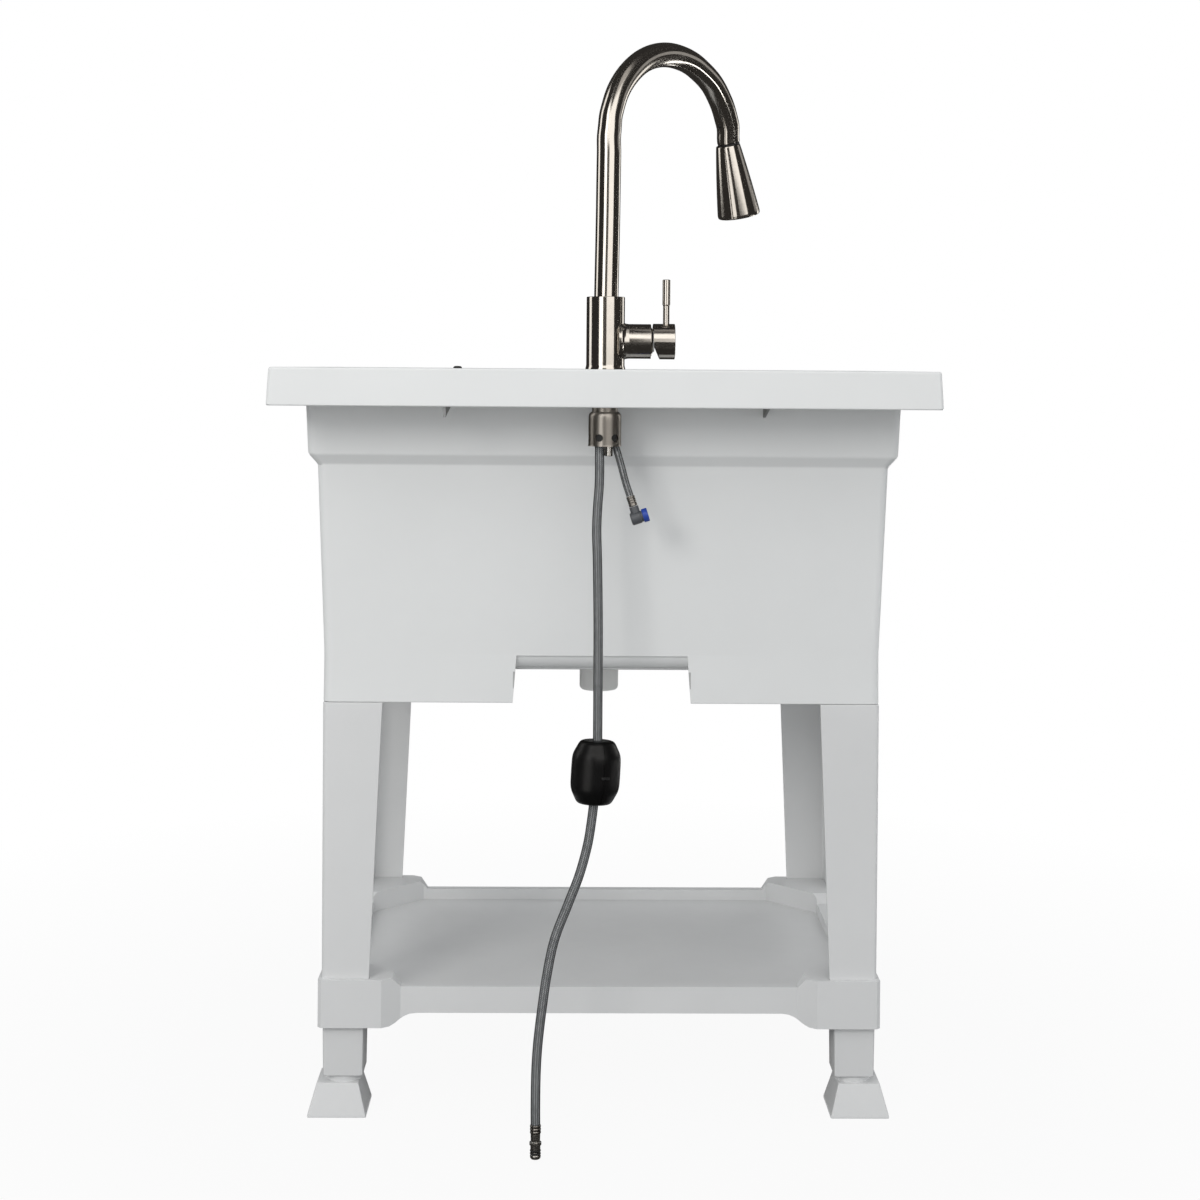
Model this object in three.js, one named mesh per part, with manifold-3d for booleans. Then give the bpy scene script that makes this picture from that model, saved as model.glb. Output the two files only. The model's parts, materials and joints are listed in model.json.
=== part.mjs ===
// A free-standing utility laundry sink with a pull-down faucet, in millimetres.
// +X is the user's right, +Y the back, +Z up. The floor is z = 0 and the deck is centred on x = y = 0.
import * as THREE from 'three';
import { mergeVertices } from 'three/addons/utils/BufferGeometryUtils.js';
import Module from 'manifold-3d';

const wasm = await Module();
wasm.setup();

// ---------------------------------------------------------------- driving dimensions

const GAP = 0.3; // left between pieces that touch
const PLAIN = 18; // sides of an ordinary round piece
const FINE = 26; // sides of a large or much seen one

// Deck and rim
const DECK_WIDTH = 711;
const DECK_DEPTH = 581;
const DECK_TOP = 822;
const RIM_HEIGHT = 40.4;
const RIM_FLARE = 1.9; // how much further out the rim's foot stands than its head
const BEAD_WIDTH = 12; // raised bead round the deck
const BEAD_HEIGHT = 2;
const WALL = 3.5;

// Basin and skirt, whose centre lies forward of the deck's to leave room for the faucet ledge
const TUB_Y = -28.5;
const HALF_X_LESS_HALF_Y = 93.5;
const WALL_FOOT = { z: 508, halfX: 306 };
const WALL_HEAD = { z: 714.7, halfX: 314 };
const BAND_FOOT = { z: 729, halfX: 323.9 };
const BAND_HEAD = { z: 818, halfX: 327.3 };
const TUB_CORNER = 8;
const BASIN_CORNER = 20; // radius between wall and floor, outside
const BASIN_BOTTOM = WALL_FOOT.z - BASIN_CORNER;
const SKIRT_BOTTOM = 454;
const SKIRT_HALF_X = 306.7;
const NOTCH = { top: 505, halfTop: 94.2, halfFoot: 99.3 };
const GUSSET_X = 170;

// Drain
const DRAIN_TAIL_RADIUS = 23.3;
const DRAIN_END = 435;
const DRAIN_BORE = 19;

// Legs, extensions and feet
const LEG_HEAD_WIDTH = 65.5;
const LEG_FOOT_WIDTH = 51;
const LEG_WALL = 3.5;
const LEG_BOTTOM = 122;
const TONGUE_TOP = 484;
const EXTENSION_WIDTH = 45.3;
const EXTENSION_BOTTOM = 41.6;
const EXTENSION_TOP = 117.5;
const FOOT_HEIGHT = 35;
const FOOT_BASE = 64.4;
const FOOT_HEAD = 46;
const FOOT_SHIFT = 5.5; // the pyramid stands this far outward of its stem

// Shelf
const SOCKET_TOP = 150;
const SOCKET_BOTTOM = 97.5;
const SOCKET_HALF_X = 309.5;
const SOCKET_LENGTH = 70;
const SOCKET_CHAMFER = 20;
const RAIL_TOP = 139;
const RAIL_BOTTOM = 109.8;
const RAIL_SETBACK = 14;
const RAIL_WIDTH = 12;
const TRAY_FLOOR = 125.5;

// Faucet
const FAUCET_Y = 246;
const BODY_RADIUS = 20.5;
const BODY_TOP = DECK_TOP + 77.4;
const VALVE_Z = DECK_TOP + 30.1;
const BOSS_RADIUS = 18.5;
const BOSS_END = -48.5;
const SPOUT_RADIUS = 13;
const SPOUT_BORE = 11.2;
const SPOUT_BEND = 124.7; // radius of the gooseneck's centreline
const SPOUT_SPRING = DECK_TOP + 228.5; // height at which the bend begins
const SPOUT_SWEEP = THREE.MathUtils.degToRad(162.2);
const SPOUT_TURN = THREE.MathUtils.degToRad(53.2); // from -X towards -Y
const HEAD_LENGTH = 88;
const HEAD_TOP_RADIUS = 12.7;
const HEAD_MOUTH_RADIUS = 23.6;

// Under the deck
const SHANK_RADIUS = 13.5;
const SHANK_BORE = 12;
const SHANK_BOTTOM = DECK_TOP - 57;
const NUT_TOP = DECK_TOP - 41;
const NUT_SHOULDER = DECK_TOP - 50;
const NUT_BOTTOM = DECK_TOP - 82;
const NUT_RADIUS = 17.5;
const STUB_BOTTOM = DECK_TOP - 92.5;

// Hoses
const HOSE_RADIUS = 5;
const OUTLET_HOSE_RADIUS = 3.8;
const HOSE_EXIT = [5.4, 248.9, 756];

// ---------------------------------------------------------------- finishes

const finish = (color, roughness, metalness) =>
  new THREE.MeshStandardMaterial({ color, roughness, metalness });
const TUB_PLASTIC = finish(0xdcdddc, 0.42, 0);
const LEG_PLASTIC = finish(0xd2d2d0, 0.45, 0);
const NICKEL = finish(0x8f8a82, 0.28, 1);
const DARK_METAL = finish(0x5d5a55, 0.35, 1);
const BRAID = finish(0x6b6d6e, 0.6, 0.3);
const BLACK_PLASTIC = finish(0x141414, 0.5, 0);
const BLACK_RUBBER = finish(0x1a1a1a, 0.85, 0);
const GREY_PLASTIC = finish(0x5b5d60, 0.5, 0);
const BLUE_PLASTIC = finish(0x2b45a5, 0.45, 0);
const WHITE_PLASTIC = finish(0xe6e6e2, 0.5, 0);

// ---------------------------------------------------------------- solids and booleans

// A closed geometry as a solid, turned face out where a mirrored profile left it inside out.
function solid(geometry) {
  const bare = geometry.index ? geometry.toNonIndexed() : geometry.clone();
  bare.deleteAttribute('normal');
  bare.deleteAttribute('uv');
  const merged = mergeVertices(bare, 1e-3);
  const corners = [];
  for (let i = 0; i < merged.index.count; i += 3) {
    const [a, b, c] = [0, 1, 2].map((k) => merged.index.getX(i + k));
    if (a !== b && b !== c && c !== a) corners.push(a, b, c);
  }
  const made = (list) =>
    new wasm.Manifold(
      new wasm.Mesh({
        numProp: 3,
        vertProperties: merged.attributes.position.array,
        triVerts: new Uint32Array(list),
      }),
    );
  const body = made(corners);
  return body.volume() > 0 ? body : made(corners.reverse());
}

const join = (first, ...rest) => rest.reduce((sum, next) => sum.add(next), first);
const cut = (first, ...rest) => rest.reduce((left, next) => left.subtract(next), first);

function geometryOf(body) {
  const { numProp, vertProperties, triVerts } = body.getMesh();
  const positions = [];
  triVerts.forEach((vertex) => {
    for (let k = 0; k < 3; k += 1) positions.push(vertProperties[vertex * numProp + k]);
  });
  const geometry = new THREE.BufferGeometry();
  geometry.setAttribute('position', new THREE.Float32BufferAttribute(positions, 3));
  geometry.computeVertexNormals();
  return geometry;
}

const part = new THREE.Group();

// One named piece, added to the part or to a turned group of it.
function piece(name, body, material, group = part) {
  const mesh = new THREE.Mesh(geometryOf(body), material);
  mesh.name = name;
  group.add(mesh);
  return mesh;
}

// ---------------------------------------------------------------- shape makers

// A rounded rectangle at height z, anticlockwise seen from above.
function ring({ halfX, halfY, radius, z, x = 0, y = 0, steps = 4 }) {
  const points = [];
  const corners = [[1, 1], [-1, 1], [-1, -1], [1, -1]];
  corners.forEach(([signX, signY], corner) => {
    for (let i = 0; i <= steps; i += 1) {
      const angle = (Math.PI / 2) * (corner + i / steps);
      points.push(
        new THREE.Vector3(
          x + signX * (halfX - radius) + radius * Math.cos(angle),
          y + signY * (halfY - radius) + radius * Math.sin(angle),
          z,
        ),
      );
    }
  });
  return points;
}

// A skin through rings of equally many points, from the lowest up, closed by flat ends.
function loft(rings) {
  const count = rings[0].length;
  const positions = rings.flat().flatMap((point) => [point.x, point.y, point.z]);
  const index = [];
  for (let level = 0; level < rings.length - 1; level += 1) {
    for (let i = 0; i < count; i += 1) {
      const a = level * count + i;
      const b = level * count + ((i + 1) % count);
      index.push(a, b, b + count, a, b + count, a + count);
    }
  }
  const ends = (points) =>
    THREE.ShapeUtils.triangulateShape(points.map((p) => new THREE.Vector2(p.x, p.y)), []);
  const top = (rings.length - 1) * count;
  ends(rings[0]).forEach(([a, b, c]) => index.push(a, c, b));
  ends(rings.at(-1)).forEach(([a, b, c]) => index.push(top + a, top + b, top + c));
  const geometry = new THREE.BufferGeometry();
  geometry.setAttribute('position', new THREE.Float32BufferAttribute(positions, 3));
  geometry.setIndex(index);
  return geometry;
}

// A profile of [radius, height] points turned about +Z.
function turned(profile, segments = PLAIN) {
  const points = profile.map(([radius, height]) => new THREE.Vector2(radius, height));
  return new THREE.LatheGeometry(points, segments).rotateX(Math.PI / 2);
}

// The same about +X: each point is [radius, x].
const turnedX = (profile, segments) => turned(profile, segments).rotateY(Math.PI / 2);

function tubeProfile(outer, inner, low, high, chamfer = 0) {
  return [
    [inner, low], [outer - chamfer, low], [outer, low + chamfer],
    [outer, high - chamfer], [outer - chamfer, high], [inner, high], [inner, low],
  ];
}

const rodProfile = (radius, low, high, chamfer = 0) => [
  [0, low], [radius - chamfer, low], [radius, low + chamfer],
  [radius, high - chamfer], [radius - chamfer, high], [0, high],
];

const box = (low, high) =>
  new THREE.BoxGeometry(...high.map((value, k) => value - low[k])).translate(
    ...high.map((value, k) => (value + low[k]) / 2),
  );

// A flat outline of [u, v] points pushed from one level to another along the third axis.
function slab(outline, from, to, axis = 'z') {
  const shape = outline instanceof THREE.Shape
    ? outline
    : new THREE.Shape(outline.map(([u, v]) => new THREE.Vector2(u, v)));
  const geometry = new THREE.ExtrudeGeometry(shape, {
    depth: to - from,
    bevelEnabled: false,
    curveSegments: 6,
  });
  geometry.translate(0, 0, from);
  if (axis === 'y') geometry.rotateX(Math.PI / 2).scale(1, -1, 1); // u is x, v is z
  const turnedToX = new THREE.Matrix4().set(0, 0, 1, 0, 1, 0, 0, 0, 0, 1, 0, 0, 0, 0, 0, 1);
  if (axis === 'x') geometry.applyMatrix4(turnedToX); // u is y, v is z
  return geometry;
}

// A round section swept along a curve, hollow where a bore is given.
function swept(curve, radius, sides, steps, bore = 0) {
  const circle = (r) =>
    Array.from({ length: sides }, (_, i) => {
      const angle = (2 * Math.PI * i) / sides;
      return new THREE.Vector2(r * Math.cos(angle), r * Math.sin(angle));
    });
  const section = new THREE.Shape(circle(radius));
  if (bore > 0) section.holes.push(new THREE.Path(circle(bore)));
  return new THREE.ExtrudeGeometry(section, { steps, bevelEnabled: false, extrudePath: curve });
}

// A group whose +Z runs along a direction, for pieces that are modelled upright and lie aslant.
function turnedGroup(name, origin, up, side = new THREE.Vector3(1, 0, 0)) {
  const z = up.clone().normalize();
  const y = new THREE.Vector3().crossVectors(z, side).normalize();
  const x = new THREE.Vector3().crossVectors(y, z);
  const group = new THREE.Group();
  group.name = name;
  group.quaternion.setFromRotationMatrix(new THREE.Matrix4().makeBasis(x, y, z));
  group.position.copy(origin);
  part.add(group);
  return group;
}

const vector = (points) => points.map(([x, y, z]) => new THREE.Vector3(x, y, z));
const routed = (points) => new THREE.CatmullRomCurve3(vector(points), false, 'centripetal');

// ---------------------------------------------------------------- tub

const tubRing = (halfX, z, radius = TUB_CORNER) =>
  ring({ halfX, halfY: halfX - HALF_X_LESS_HALF_Y, radius, y: TUB_Y, z });

// The basin's outside, or its inside when the wall is taken off.
function basin(wall, top) {
  const corner = BASIN_CORNER - wall;
  const floor = BASIN_BOTTOM + wall;
  const rings = [];
  for (let i = 0; i < 4; i += 1) {
    const angle = (Math.PI / 2) * (i / 4);
    const inset = corner * (1 - Math.sin(angle));
    rings.push(tubRing(WALL_FOOT.halfX - wall - inset, floor + corner * (1 - Math.cos(angle))));
  }
  for (const level of [WALL_FOOT, WALL_HEAD, BAND_FOOT]) rings.push(tubRing(level.halfX - wall, level.z));
  return loft([...rings, ...top]);
}

function deckShell() {
  const deckRing = (inset, z, radius) =>
    ring({ halfX: DECK_WIDTH / 2 - inset, halfY: DECK_DEPTH / 2 - inset, radius, z });
  const rimBottom = DECK_TOP - RIM_HEIGHT;
  const underside = DECK_TOP - BEAD_HEIGHT - WALL;
  const outside = loft([
    deckRing(0, rimBottom, 5),
    deckRing(RIM_FLARE, DECK_TOP - 1.7, 4),
    deckRing(RIM_FLARE + 1.3, DECK_TOP, 3.5),
  ]);
  const hollow = loft([deckRing(WALL, rimBottom - 1, 3), deckRing(WALL + RIM_FLARE, underside, 3)]);
  return cut(solid(outside), solid(hollow));
}

function skirtShell() {
  const head = WALL_FOOT.z + 1;
  const outside = loft([tubRing(SKIRT_HALF_X, SKIRT_BOTTOM), tubRing(WALL_FOOT.halfX + 0.2, head)]);
  const inside = loft([
    tubRing(SKIRT_HALF_X - WALL, SKIRT_BOTTOM - 1, TUB_CORNER - WALL),
    tubRing(WALL_FOOT.halfX - WALL, head + 1, TUB_CORNER - WALL),
  ]);
  const notch = slab(
    [
      [-NOTCH.halfFoot, SKIRT_BOTTOM - 1], [NOTCH.halfFoot, SKIRT_BOTTOM - 1],
      [NOTCH.halfTop, NOTCH.top], [-NOTCH.halfTop, NOTCH.top],
    ],
    120,
    220,
    'y',
  );
  return cut(solid(outside), solid(inside), solid(notch));
}

// A thin rib that carries the ledge on the band, seen edge on from behind.
function gusset(x) {
  const rear = DECK_DEPTH / 2 - 3;
  const band = TUB_Y + BAND_HEAD.halfX - HALF_X_LESS_HALF_Y - 3;
  const outline = [
    [band, DECK_TOP - 4], [rear, DECK_TOP - 4], [rear, DECK_TOP - RIM_HEIGHT + 1], [band, DECK_TOP - 52],
  ];
  return solid(slab(outline, x - 1.5, x + 1.5, 'x'));
}

const shankRadiusWithRoom = SHANK_RADIUS + 2;
const PLUG_X = 157.8;

function tub() {
  const floorOfDeck = DECK_TOP - BEAD_HEIGHT;
  const outside = basin(0, [tubRing(BAND_HEAD.halfX, floorOfDeck - 1)]);
  const inside = basin(WALL, [
    tubRing(BAND_HEAD.halfX - WALL, floorOfDeck - 7),
    tubRing(BAND_HEAD.halfX - 2.6, floorOfDeck - 3),
    tubRing(BAND_HEAD.halfX - 0.6, floorOfDeck - 0.8),
    tubRing(BAND_HEAD.halfX + 2, floorOfDeck + 0.2),
    tubRing(BAND_HEAD.halfX + 2, DECK_TOP + 2),
  ]);
  const halfX = DECK_WIDTH / 2 - RIM_FLARE - BEAD_WIDTH;
  const halfY = DECK_DEPTH / 2 - RIM_FLARE - BEAD_WIDTH;
  const recess = loft([
    ring({ halfX, halfY, radius: 10, z: floorOfDeck }),
    ring({ halfX: halfX + 3, halfY: halfY + 3, radius: 12, z: DECK_TOP + 1 }),
  ]);
  const at = (profile, x, y) => solid(turned(profile).translate(x, y, 0));
  const drainSeat = at(rodProfile(50, BASIN_BOTTOM - 3, BASIN_BOTTOM + 1), 0, TUB_Y);
  const drainRecess = at(rodProfile(45, BASIN_BOTTOM + 0.7, BASIN_BOTTOM + 8), 0, TUB_Y);
  const drainHole = at(rodProfile(24.5, BASIN_BOTTOM - 8, BASIN_BOTTOM + 8), 0, TUB_Y);
  const faucetHole = at(rodProfile(shankRadiusWithRoom, DECK_TOP - 20, DECK_TOP + 5), 0, FAUCET_Y);
  const plugHole = at(rodProfile(3.2, DECK_TOP - 20, DECK_TOP + 5), PLUG_X, FAUCET_Y);
  const gussets = join(gusset(GUSSET_X), gusset(-GUSSET_X));
  const shell = join(deckShell(), solid(outside), skirtShell(), drainSeat, gussets);
  return cut(shell, solid(recess), solid(inside), drainRecess, drainHole, faucetHole, plugHole);
}

piece('tub', tub(), TUB_PLASTIC);

const deckPlug = turned([
  [0, 812], [2.9, 812], [2.9, DECK_TOP - 1.7], [4.6, DECK_TOP - 1.7], [4.6, DECK_TOP + 1.2],
  [3.2, DECK_TOP + 2.3], [0, DECK_TOP + 2.5],
], 16);
piece('deck_plug', solid(deckPlug.translate(PLUG_X, FAUCET_Y, 0)), BLACK_RUBBER);

// ---------------------------------------------------------------- drain

const drain = new THREE.Group();
drain.position.set(0, TUB_Y, 0);
part.add(drain);

const flangeTop = BASIN_BOTTOM + WALL - 0.3;
const drainShell = solid(turned([
  [DRAIN_BORE, DRAIN_END], [DRAIN_TAIL_RADIUS - 2.5, DRAIN_END], [DRAIN_TAIL_RADIUS, DRAIN_END + 4],
  [DRAIN_TAIL_RADIUS, flangeTop - 2.2], [43, flangeTop - 2.2], [43, flangeTop - 1], [24, flangeTop],
  [22, flangeTop - 0.8], [20, flangeTop - 3], [DRAIN_BORE, flangeTop - 12], [DRAIN_BORE, DRAIN_END],
], FINE));
const crossbar = (angle) =>
  solid(box([-DRAIN_BORE - 1, -1.5, 462], [DRAIN_BORE + 1, 1.5, 466]).rotateZ(angle));
const drainBody = join(drainShell, crossbar(0), crossbar(Math.PI / 2));
piece('drain_body', drainBody, WHITE_PLASTIC, drain);

const seat = BASIN_BOTTOM - 3 - GAP;
piece('drain_gasket', solid(turned(tubeProfile(41, 24, seat - 2.4, seat), FINE)), BLACK_RUBBER, drain);

const locknutTop = seat - 2.4 - GAP;
const lug = (i) => solid(box([28, -4, locknutTop - 12], [37, 4, locknutTop - 1]).rotateZ((i * Math.PI) / 3));
const locknut = join(
  solid(turned(tubeProfile(33, 23.8, locknutTop - 12, locknutTop, 1), FINE)),
  ...[0, 1, 2, 3, 4, 5].map(lug),
);
const locknutBore = solid(turned(rodProfile(23.8, 440, 490), FINE));
piece('drain_locknut', cut(locknut, locknutBore), WHITE_PLASTIC, drain);

const stopper = turned([
  [0, 480], [17.4, 480], [18.5, flangeTop - 3.4], [21.4, flangeTop + 0.6], [21.4, flangeTop + 3],
  [15, flangeTop + 4.6], [5, flangeTop + 5.4], [4.4, flangeTop + 13], [8, flangeTop + 15],
  [8, flangeTop + 19], [5, flangeTop + 20.5], [0, flangeTop + 21],
], 18);
piece('drain_stopper', solid(stopper), BLACK_RUBBER, drain);

// ---------------------------------------------------------------- legs, extensions and feet

const stand = new THREE.Group();
stand.position.set(0, TUB_Y, 0);
part.add(stand);

// An angle section with its outer corner at (outer, outer - HALF_X_LESS_HALF_Y), open towards the middle.
function angleRing(outer, width, wall, z) {
  const outerY = outer - HALF_X_LESS_HALF_Y;
  const corner = 8;
  const inside = wall + corner - 2;
  return [
    [-width, -wall], [-inside, -wall], [-wall, -inside], [-wall, -width],
    [0, -width], [0, -corner], [-corner, 0], [-width, 0],
  ].map(([x, y]) => new THREE.Vector3(outer + x, outerY + y, z));
}

const legFootOuter = SKIRT_HALF_X - 0.7;
const tongueOuter = SKIRT_HALF_X - WALL - 0.6;
const ledge = SKIRT_HALF_X - tongueOuter + 3;

function leg() {
  return solid(loft([
    angleRing(legFootOuter, LEG_FOOT_WIDTH, LEG_WALL, LEG_BOTTOM),
    angleRing(SKIRT_HALF_X - 0.05, LEG_HEAD_WIDTH - 1, LEG_WALL, SKIRT_BOTTOM - 26),
    angleRing(SKIRT_HALF_X, LEG_HEAD_WIDTH, ledge, SKIRT_BOTTOM - 14),
    angleRing(SKIRT_HALF_X, LEG_HEAD_WIDTH, ledge, SKIRT_BOTTOM - GAP),
    angleRing(tongueOuter, LEG_HEAD_WIDTH - 6, 3, SKIRT_BOTTOM - GAP),
    angleRing(tongueOuter - 0.8, LEG_HEAD_WIDTH - 8, 3, TONGUE_TOP),
  ]));
}

const extensionX = legFootOuter - 1.4 - EXTENSION_WIDTH / 2;
const extensionY = extensionX - HALF_X_LESS_HALF_Y;
const squareRing = (width, z, radius = 3, shift = 0) =>
  ring({ halfX: width / 2, halfY: width / 2, radius, x: extensionX + shift, y: extensionY, z, steps: 2 });

function extension() {
  const outside = loft([
    squareRing(EXTENSION_WIDTH - 3.4, EXTENSION_BOTTOM),
    squareRing(EXTENSION_WIDTH - 1.4, EXTENSION_BOTTOM + 1.5),
    squareRing(EXTENSION_WIDTH, SOCKET_BOTTOM - 2),
    squareRing(EXTENSION_WIDTH, EXTENSION_TOP),
  ]);
  const inside = loft([
    squareRing(EXTENSION_WIDTH - 7.5, EXTENSION_BOTTOM + 12, 1.5),
    squareRing(EXTENSION_WIDTH - 6.2, EXTENSION_TOP + 1, 1.5),
  ]);
  const hole = turned(rodProfile(6.4, EXTENSION_BOTTOM - 1, EXTENSION_BOTTOM + 13), 16);
  return cut(solid(outside), solid(inside), solid(hole.translate(extensionX, extensionY, 0)));
}

function levellingFoot() {
  const pyramid = loft([
    squareRing(FOOT_BASE, 0, 2, FOOT_SHIFT),
    squareRing(FOOT_BASE, 2, 2, FOOT_SHIFT),
    squareRing(FOOT_HEAD, FOOT_HEIGHT, 2, FOOT_SHIFT),
  ]);
  const hollow = loft([
    squareRing(FOOT_BASE - 11, -1, 2, FOOT_SHIFT),
    squareRing(FOOT_HEAD - 8, FOOT_HEIGHT - 6, 2, FOOT_SHIFT),
  ]);
  const upright = (profile) => solid(turned(profile, 16).translate(extensionX, extensionY, 0));
  const boss = upright(rodProfile(10, 6, FOOT_HEIGHT - 1));
  const neck = upright(rodProfile(20.3, FOOT_HEIGHT - 1, EXTENSION_BOTTOM - GAP, 0.8));
  const stem = upright(rodProfile(5.9, FOOT_HEIGHT, 88, 1));
  return join(cut(solid(pyramid), solid(hollow)), boss, neck, stem);
}

const corners = { rear_left: [-1, 1], rear_right: [1, 1], front_left: [-1, -1], front_right: [1, -1] };
for (const [corner, [signX, signY]] of Object.entries(corners)) {
  piece(`leg_${corner}`, leg(), LEG_PLASTIC, stand).scale.set(signX, signY, 1);
  piece(`extension_${corner}`, extension(), LEG_PLASTIC, stand).scale.set(signX, signY, 1);
  piece(`foot_${corner}`, levellingFoot(), LEG_PLASTIC, stand).scale.set(signX, signY, 1);
}

// ---------------------------------------------------------------- shelf

// A quarter outline, from the +X side round to the +Y side, mirrored into a whole one.
function fourfold(quarter) {
  const turn = (signX, signY) => quarter.map(([x, y]) => [signX * x, signY * y]);
  return [...turn(1, 1), ...turn(-1, 1).reverse(), ...turn(-1, -1), ...turn(1, -1).reverse()];
}

const SOCKET_HALF_Y = SOCKET_HALF_X - HALF_X_LESS_HALF_Y + 2.5;
const railHalfX = SOCKET_HALF_X - RAIL_SETBACK;
const railHalfY = SOCKET_HALF_Y - RAIL_SETBACK;

// The underside of a rail: level, and rising out of each socket in a soft double bend.
function underRail(halfLength) {
  const shape = new THREE.Shape();
  const foot = SOCKET_BOTTOM - 1;
  const end = halfLength - 38;
  const middle = halfLength - 19;
  shape.moveTo(-halfLength, foot);
  shape.bezierCurveTo(-middle, foot, -middle, RAIL_BOTTOM, -end, RAIL_BOTTOM);
  shape.lineTo(end, RAIL_BOTTOM);
  shape.bezierCurveTo(middle, RAIL_BOTTOM, middle, foot, halfLength, foot);
  return shape;
}

const overRail = (halfLength) => [
  [-halfLength, RAIL_TOP], [halfLength, RAIL_TOP],
  [halfLength + 10, SOCKET_TOP + 1], [-halfLength - 10, SOCKET_TOP + 1],
];

function shelf() {
  const socketX = SOCKET_HALF_X - SOCKET_LENGTH;
  const socketY = SOCKET_HALF_Y - SOCKET_LENGTH;
  const outline = fourfold([
    [railHalfX, socketY - SOCKET_CHAMFER], [SOCKET_HALF_X, socketY], [SOCKET_HALF_X, SOCKET_HALF_Y - 4],
    [SOCKET_HALF_X - 4, SOCKET_HALF_Y], [socketX, SOCKET_HALF_Y], [socketX - SOCKET_CHAMFER, railHalfY],
  ]);
  const octagon = (halfX, halfY, corner) =>
    fourfold([[halfX, halfY - corner], [halfX - corner, halfY]]);
  const trayX = railHalfX - RAIL_WIDTH;
  const trayY = railHalfY - RAIL_WIDTH;
  const tray = octagon(trayX, trayY, 59);
  const under = octagon(railHalfX - 3, railHalfY - 3, 77);
  const far = 400;
  const blank = cut(
    solid(slab(outline, SOCKET_BOTTOM, SOCKET_TOP)),
    solid(slab(overRail(socketX - SOCKET_CHAMFER), -far, far, 'y')),
    solid(slab(overRail(socketY - SOCKET_CHAMFER), -far, far, 'x')),
    solid(slab(tray, TRAY_FLOOR, SOCKET_TOP + 1)),
    solid(slab(under, SOCKET_BOTTOM - 1, TRAY_FLOOR - WALL)),
    solid(slab(underRail(socketX), -far, far, 'y')),
    solid(slab(underRail(socketY), -far, far, 'x')),
  );
  const ribAcross = [-150, -75, 0, 75, 150].map((x) =>
    solid(box([x - 1.25, -railHalfY + 1, RAIL_BOTTOM + 1], [x + 1.25, railHalfY - 1, TRAY_FLOOR - 1])));
  const ribAlong = [-100, 0, 100].map((y) =>
    solid(box([-railHalfX + 1, y - 1.25, RAIL_BOTTOM + 1], [railHalfX - 1, y + 1.25, TRAY_FLOOR - 1])));
  const room = 0.4;
  const pockets = Object.values(corners).flatMap(([signX, signY]) => {
    const slot = loft([
      angleRing(legFootOuter + room, LEG_FOOT_WIDTH + 2 * room, LEG_WALL + 2 * room, LEG_BOTTOM - room),
      angleRing(legFootOuter + room, LEG_FOOT_WIDTH + 6 * room, LEG_WALL + 2 * room, SOCKET_TOP + 1),
    ]);
    const pocket = loft([
      squareRing(EXTENSION_WIDTH + 2 * room, SOCKET_BOTTOM - 1),
      squareRing(EXTENSION_WIDTH + 2 * room, EXTENSION_TOP + room),
    ]);
    return [slot, pocket].map((hollow) => solid(hollow.scale(signX, signY, 1)));
  });
  return cut(join(blank, ...ribAcross, ...ribAlong), ...pockets);
}

piece('shelf', shelf(), LEG_PLASTIC, stand);

// ---------------------------------------------------------------- faucet, fixed pieces

const faucet = new THREE.Group();
faucet.position.set(0, FAUCET_Y, 0);
part.add(faucet);

const deckFloor = DECK_TOP - BEAD_HEIGHT;
const bodyFoot = deckFloor + 1.1;
const chamberFloor = BODY_TOP - 33.4;
const CHAMBER_RADIUS = 17.2;
const hoseFoot = new THREE.Vector3(HOSE_EXIT[0], HOSE_EXIT[1] - FAUCET_Y, HOSE_EXIT[2]);
const hoseHead = new THREE.Vector3(0, 0, chamberFloor + 1.5);
const hoseRise = new THREE.CatmullRomCurve3([
  hoseFoot,
  hoseFoot.clone().setZ(bodyFoot - 5),
  hoseFoot.clone().setZ(bodyFoot + 8),
  hoseHead.clone().setZ(chamberFloor - 6),
  hoseHead,
], false, 'centripetal');

const STUBS = {
  hot_inlet: { x: 0.5, y: -7.4, radius: 4, bottom: STUB_BOTTOM },
  cold_inlet: { x: -4.4, y: 6.2, radius: 4, bottom: STUB_BOTTOM },
  outlet_stub: { x: -7.4, y: -1.9, radius: 3.6, bottom: DECK_TOP - 66 },
};

function faucetBody() {
  const column = turned([
    [0, bodyFoot], [21.3, bodyFoot], [21.3, bodyFoot + 2], [BODY_RADIUS, bodyFoot + 5],
    [BODY_RADIUS, BODY_TOP - 1.5], [BODY_RADIUS - 1.5, BODY_TOP], [0, BODY_TOP],
  ], FINE);
  const boss = turnedX([
    [0, BOSS_END], [BOSS_RADIUS - 0.8, BOSS_END], [BOSS_RADIUS, BOSS_END + 0.8], [BOSS_RADIUS, -24.5],
    [BOSS_RADIUS + 0.6, -21.5], [BOSS_RADIUS + 2.2, -18], [0, -8],
  ], FINE);
  const seatBore = turnedX(rodProfile(15.8, BOSS_END - 1, -22), 28);
  const chamber = turned(rodProfile(CHAMBER_RADIUS, chamberFloor, BODY_TOP + 1), FINE);
  const passage = swept(hoseRise, 6.3, 12, 12);
  const sockets = Object.values(STUBS).map(({ x, y, radius }) =>
    solid(turned(rodProfile(radius + 0.4, bodyFoot - 1, bodyFoot + 8), 16).translate(x, y, 0)));
  const threadRing = tubeProfile(SHANK_RADIUS + 0.4, SHANK_BORE - 0.4, bodyFoot - 1, bodyFoot + 6);
  const thread = solid(turned(threadRing));
  return cut(
    join(solid(column), solid(boss.translate(0, 0, VALVE_Z))),
    solid(seatBore.translate(0, 0, VALVE_Z)),
    solid(chamber),
    solid(passage),
    thread,
    ...sockets,
  );
}

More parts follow.
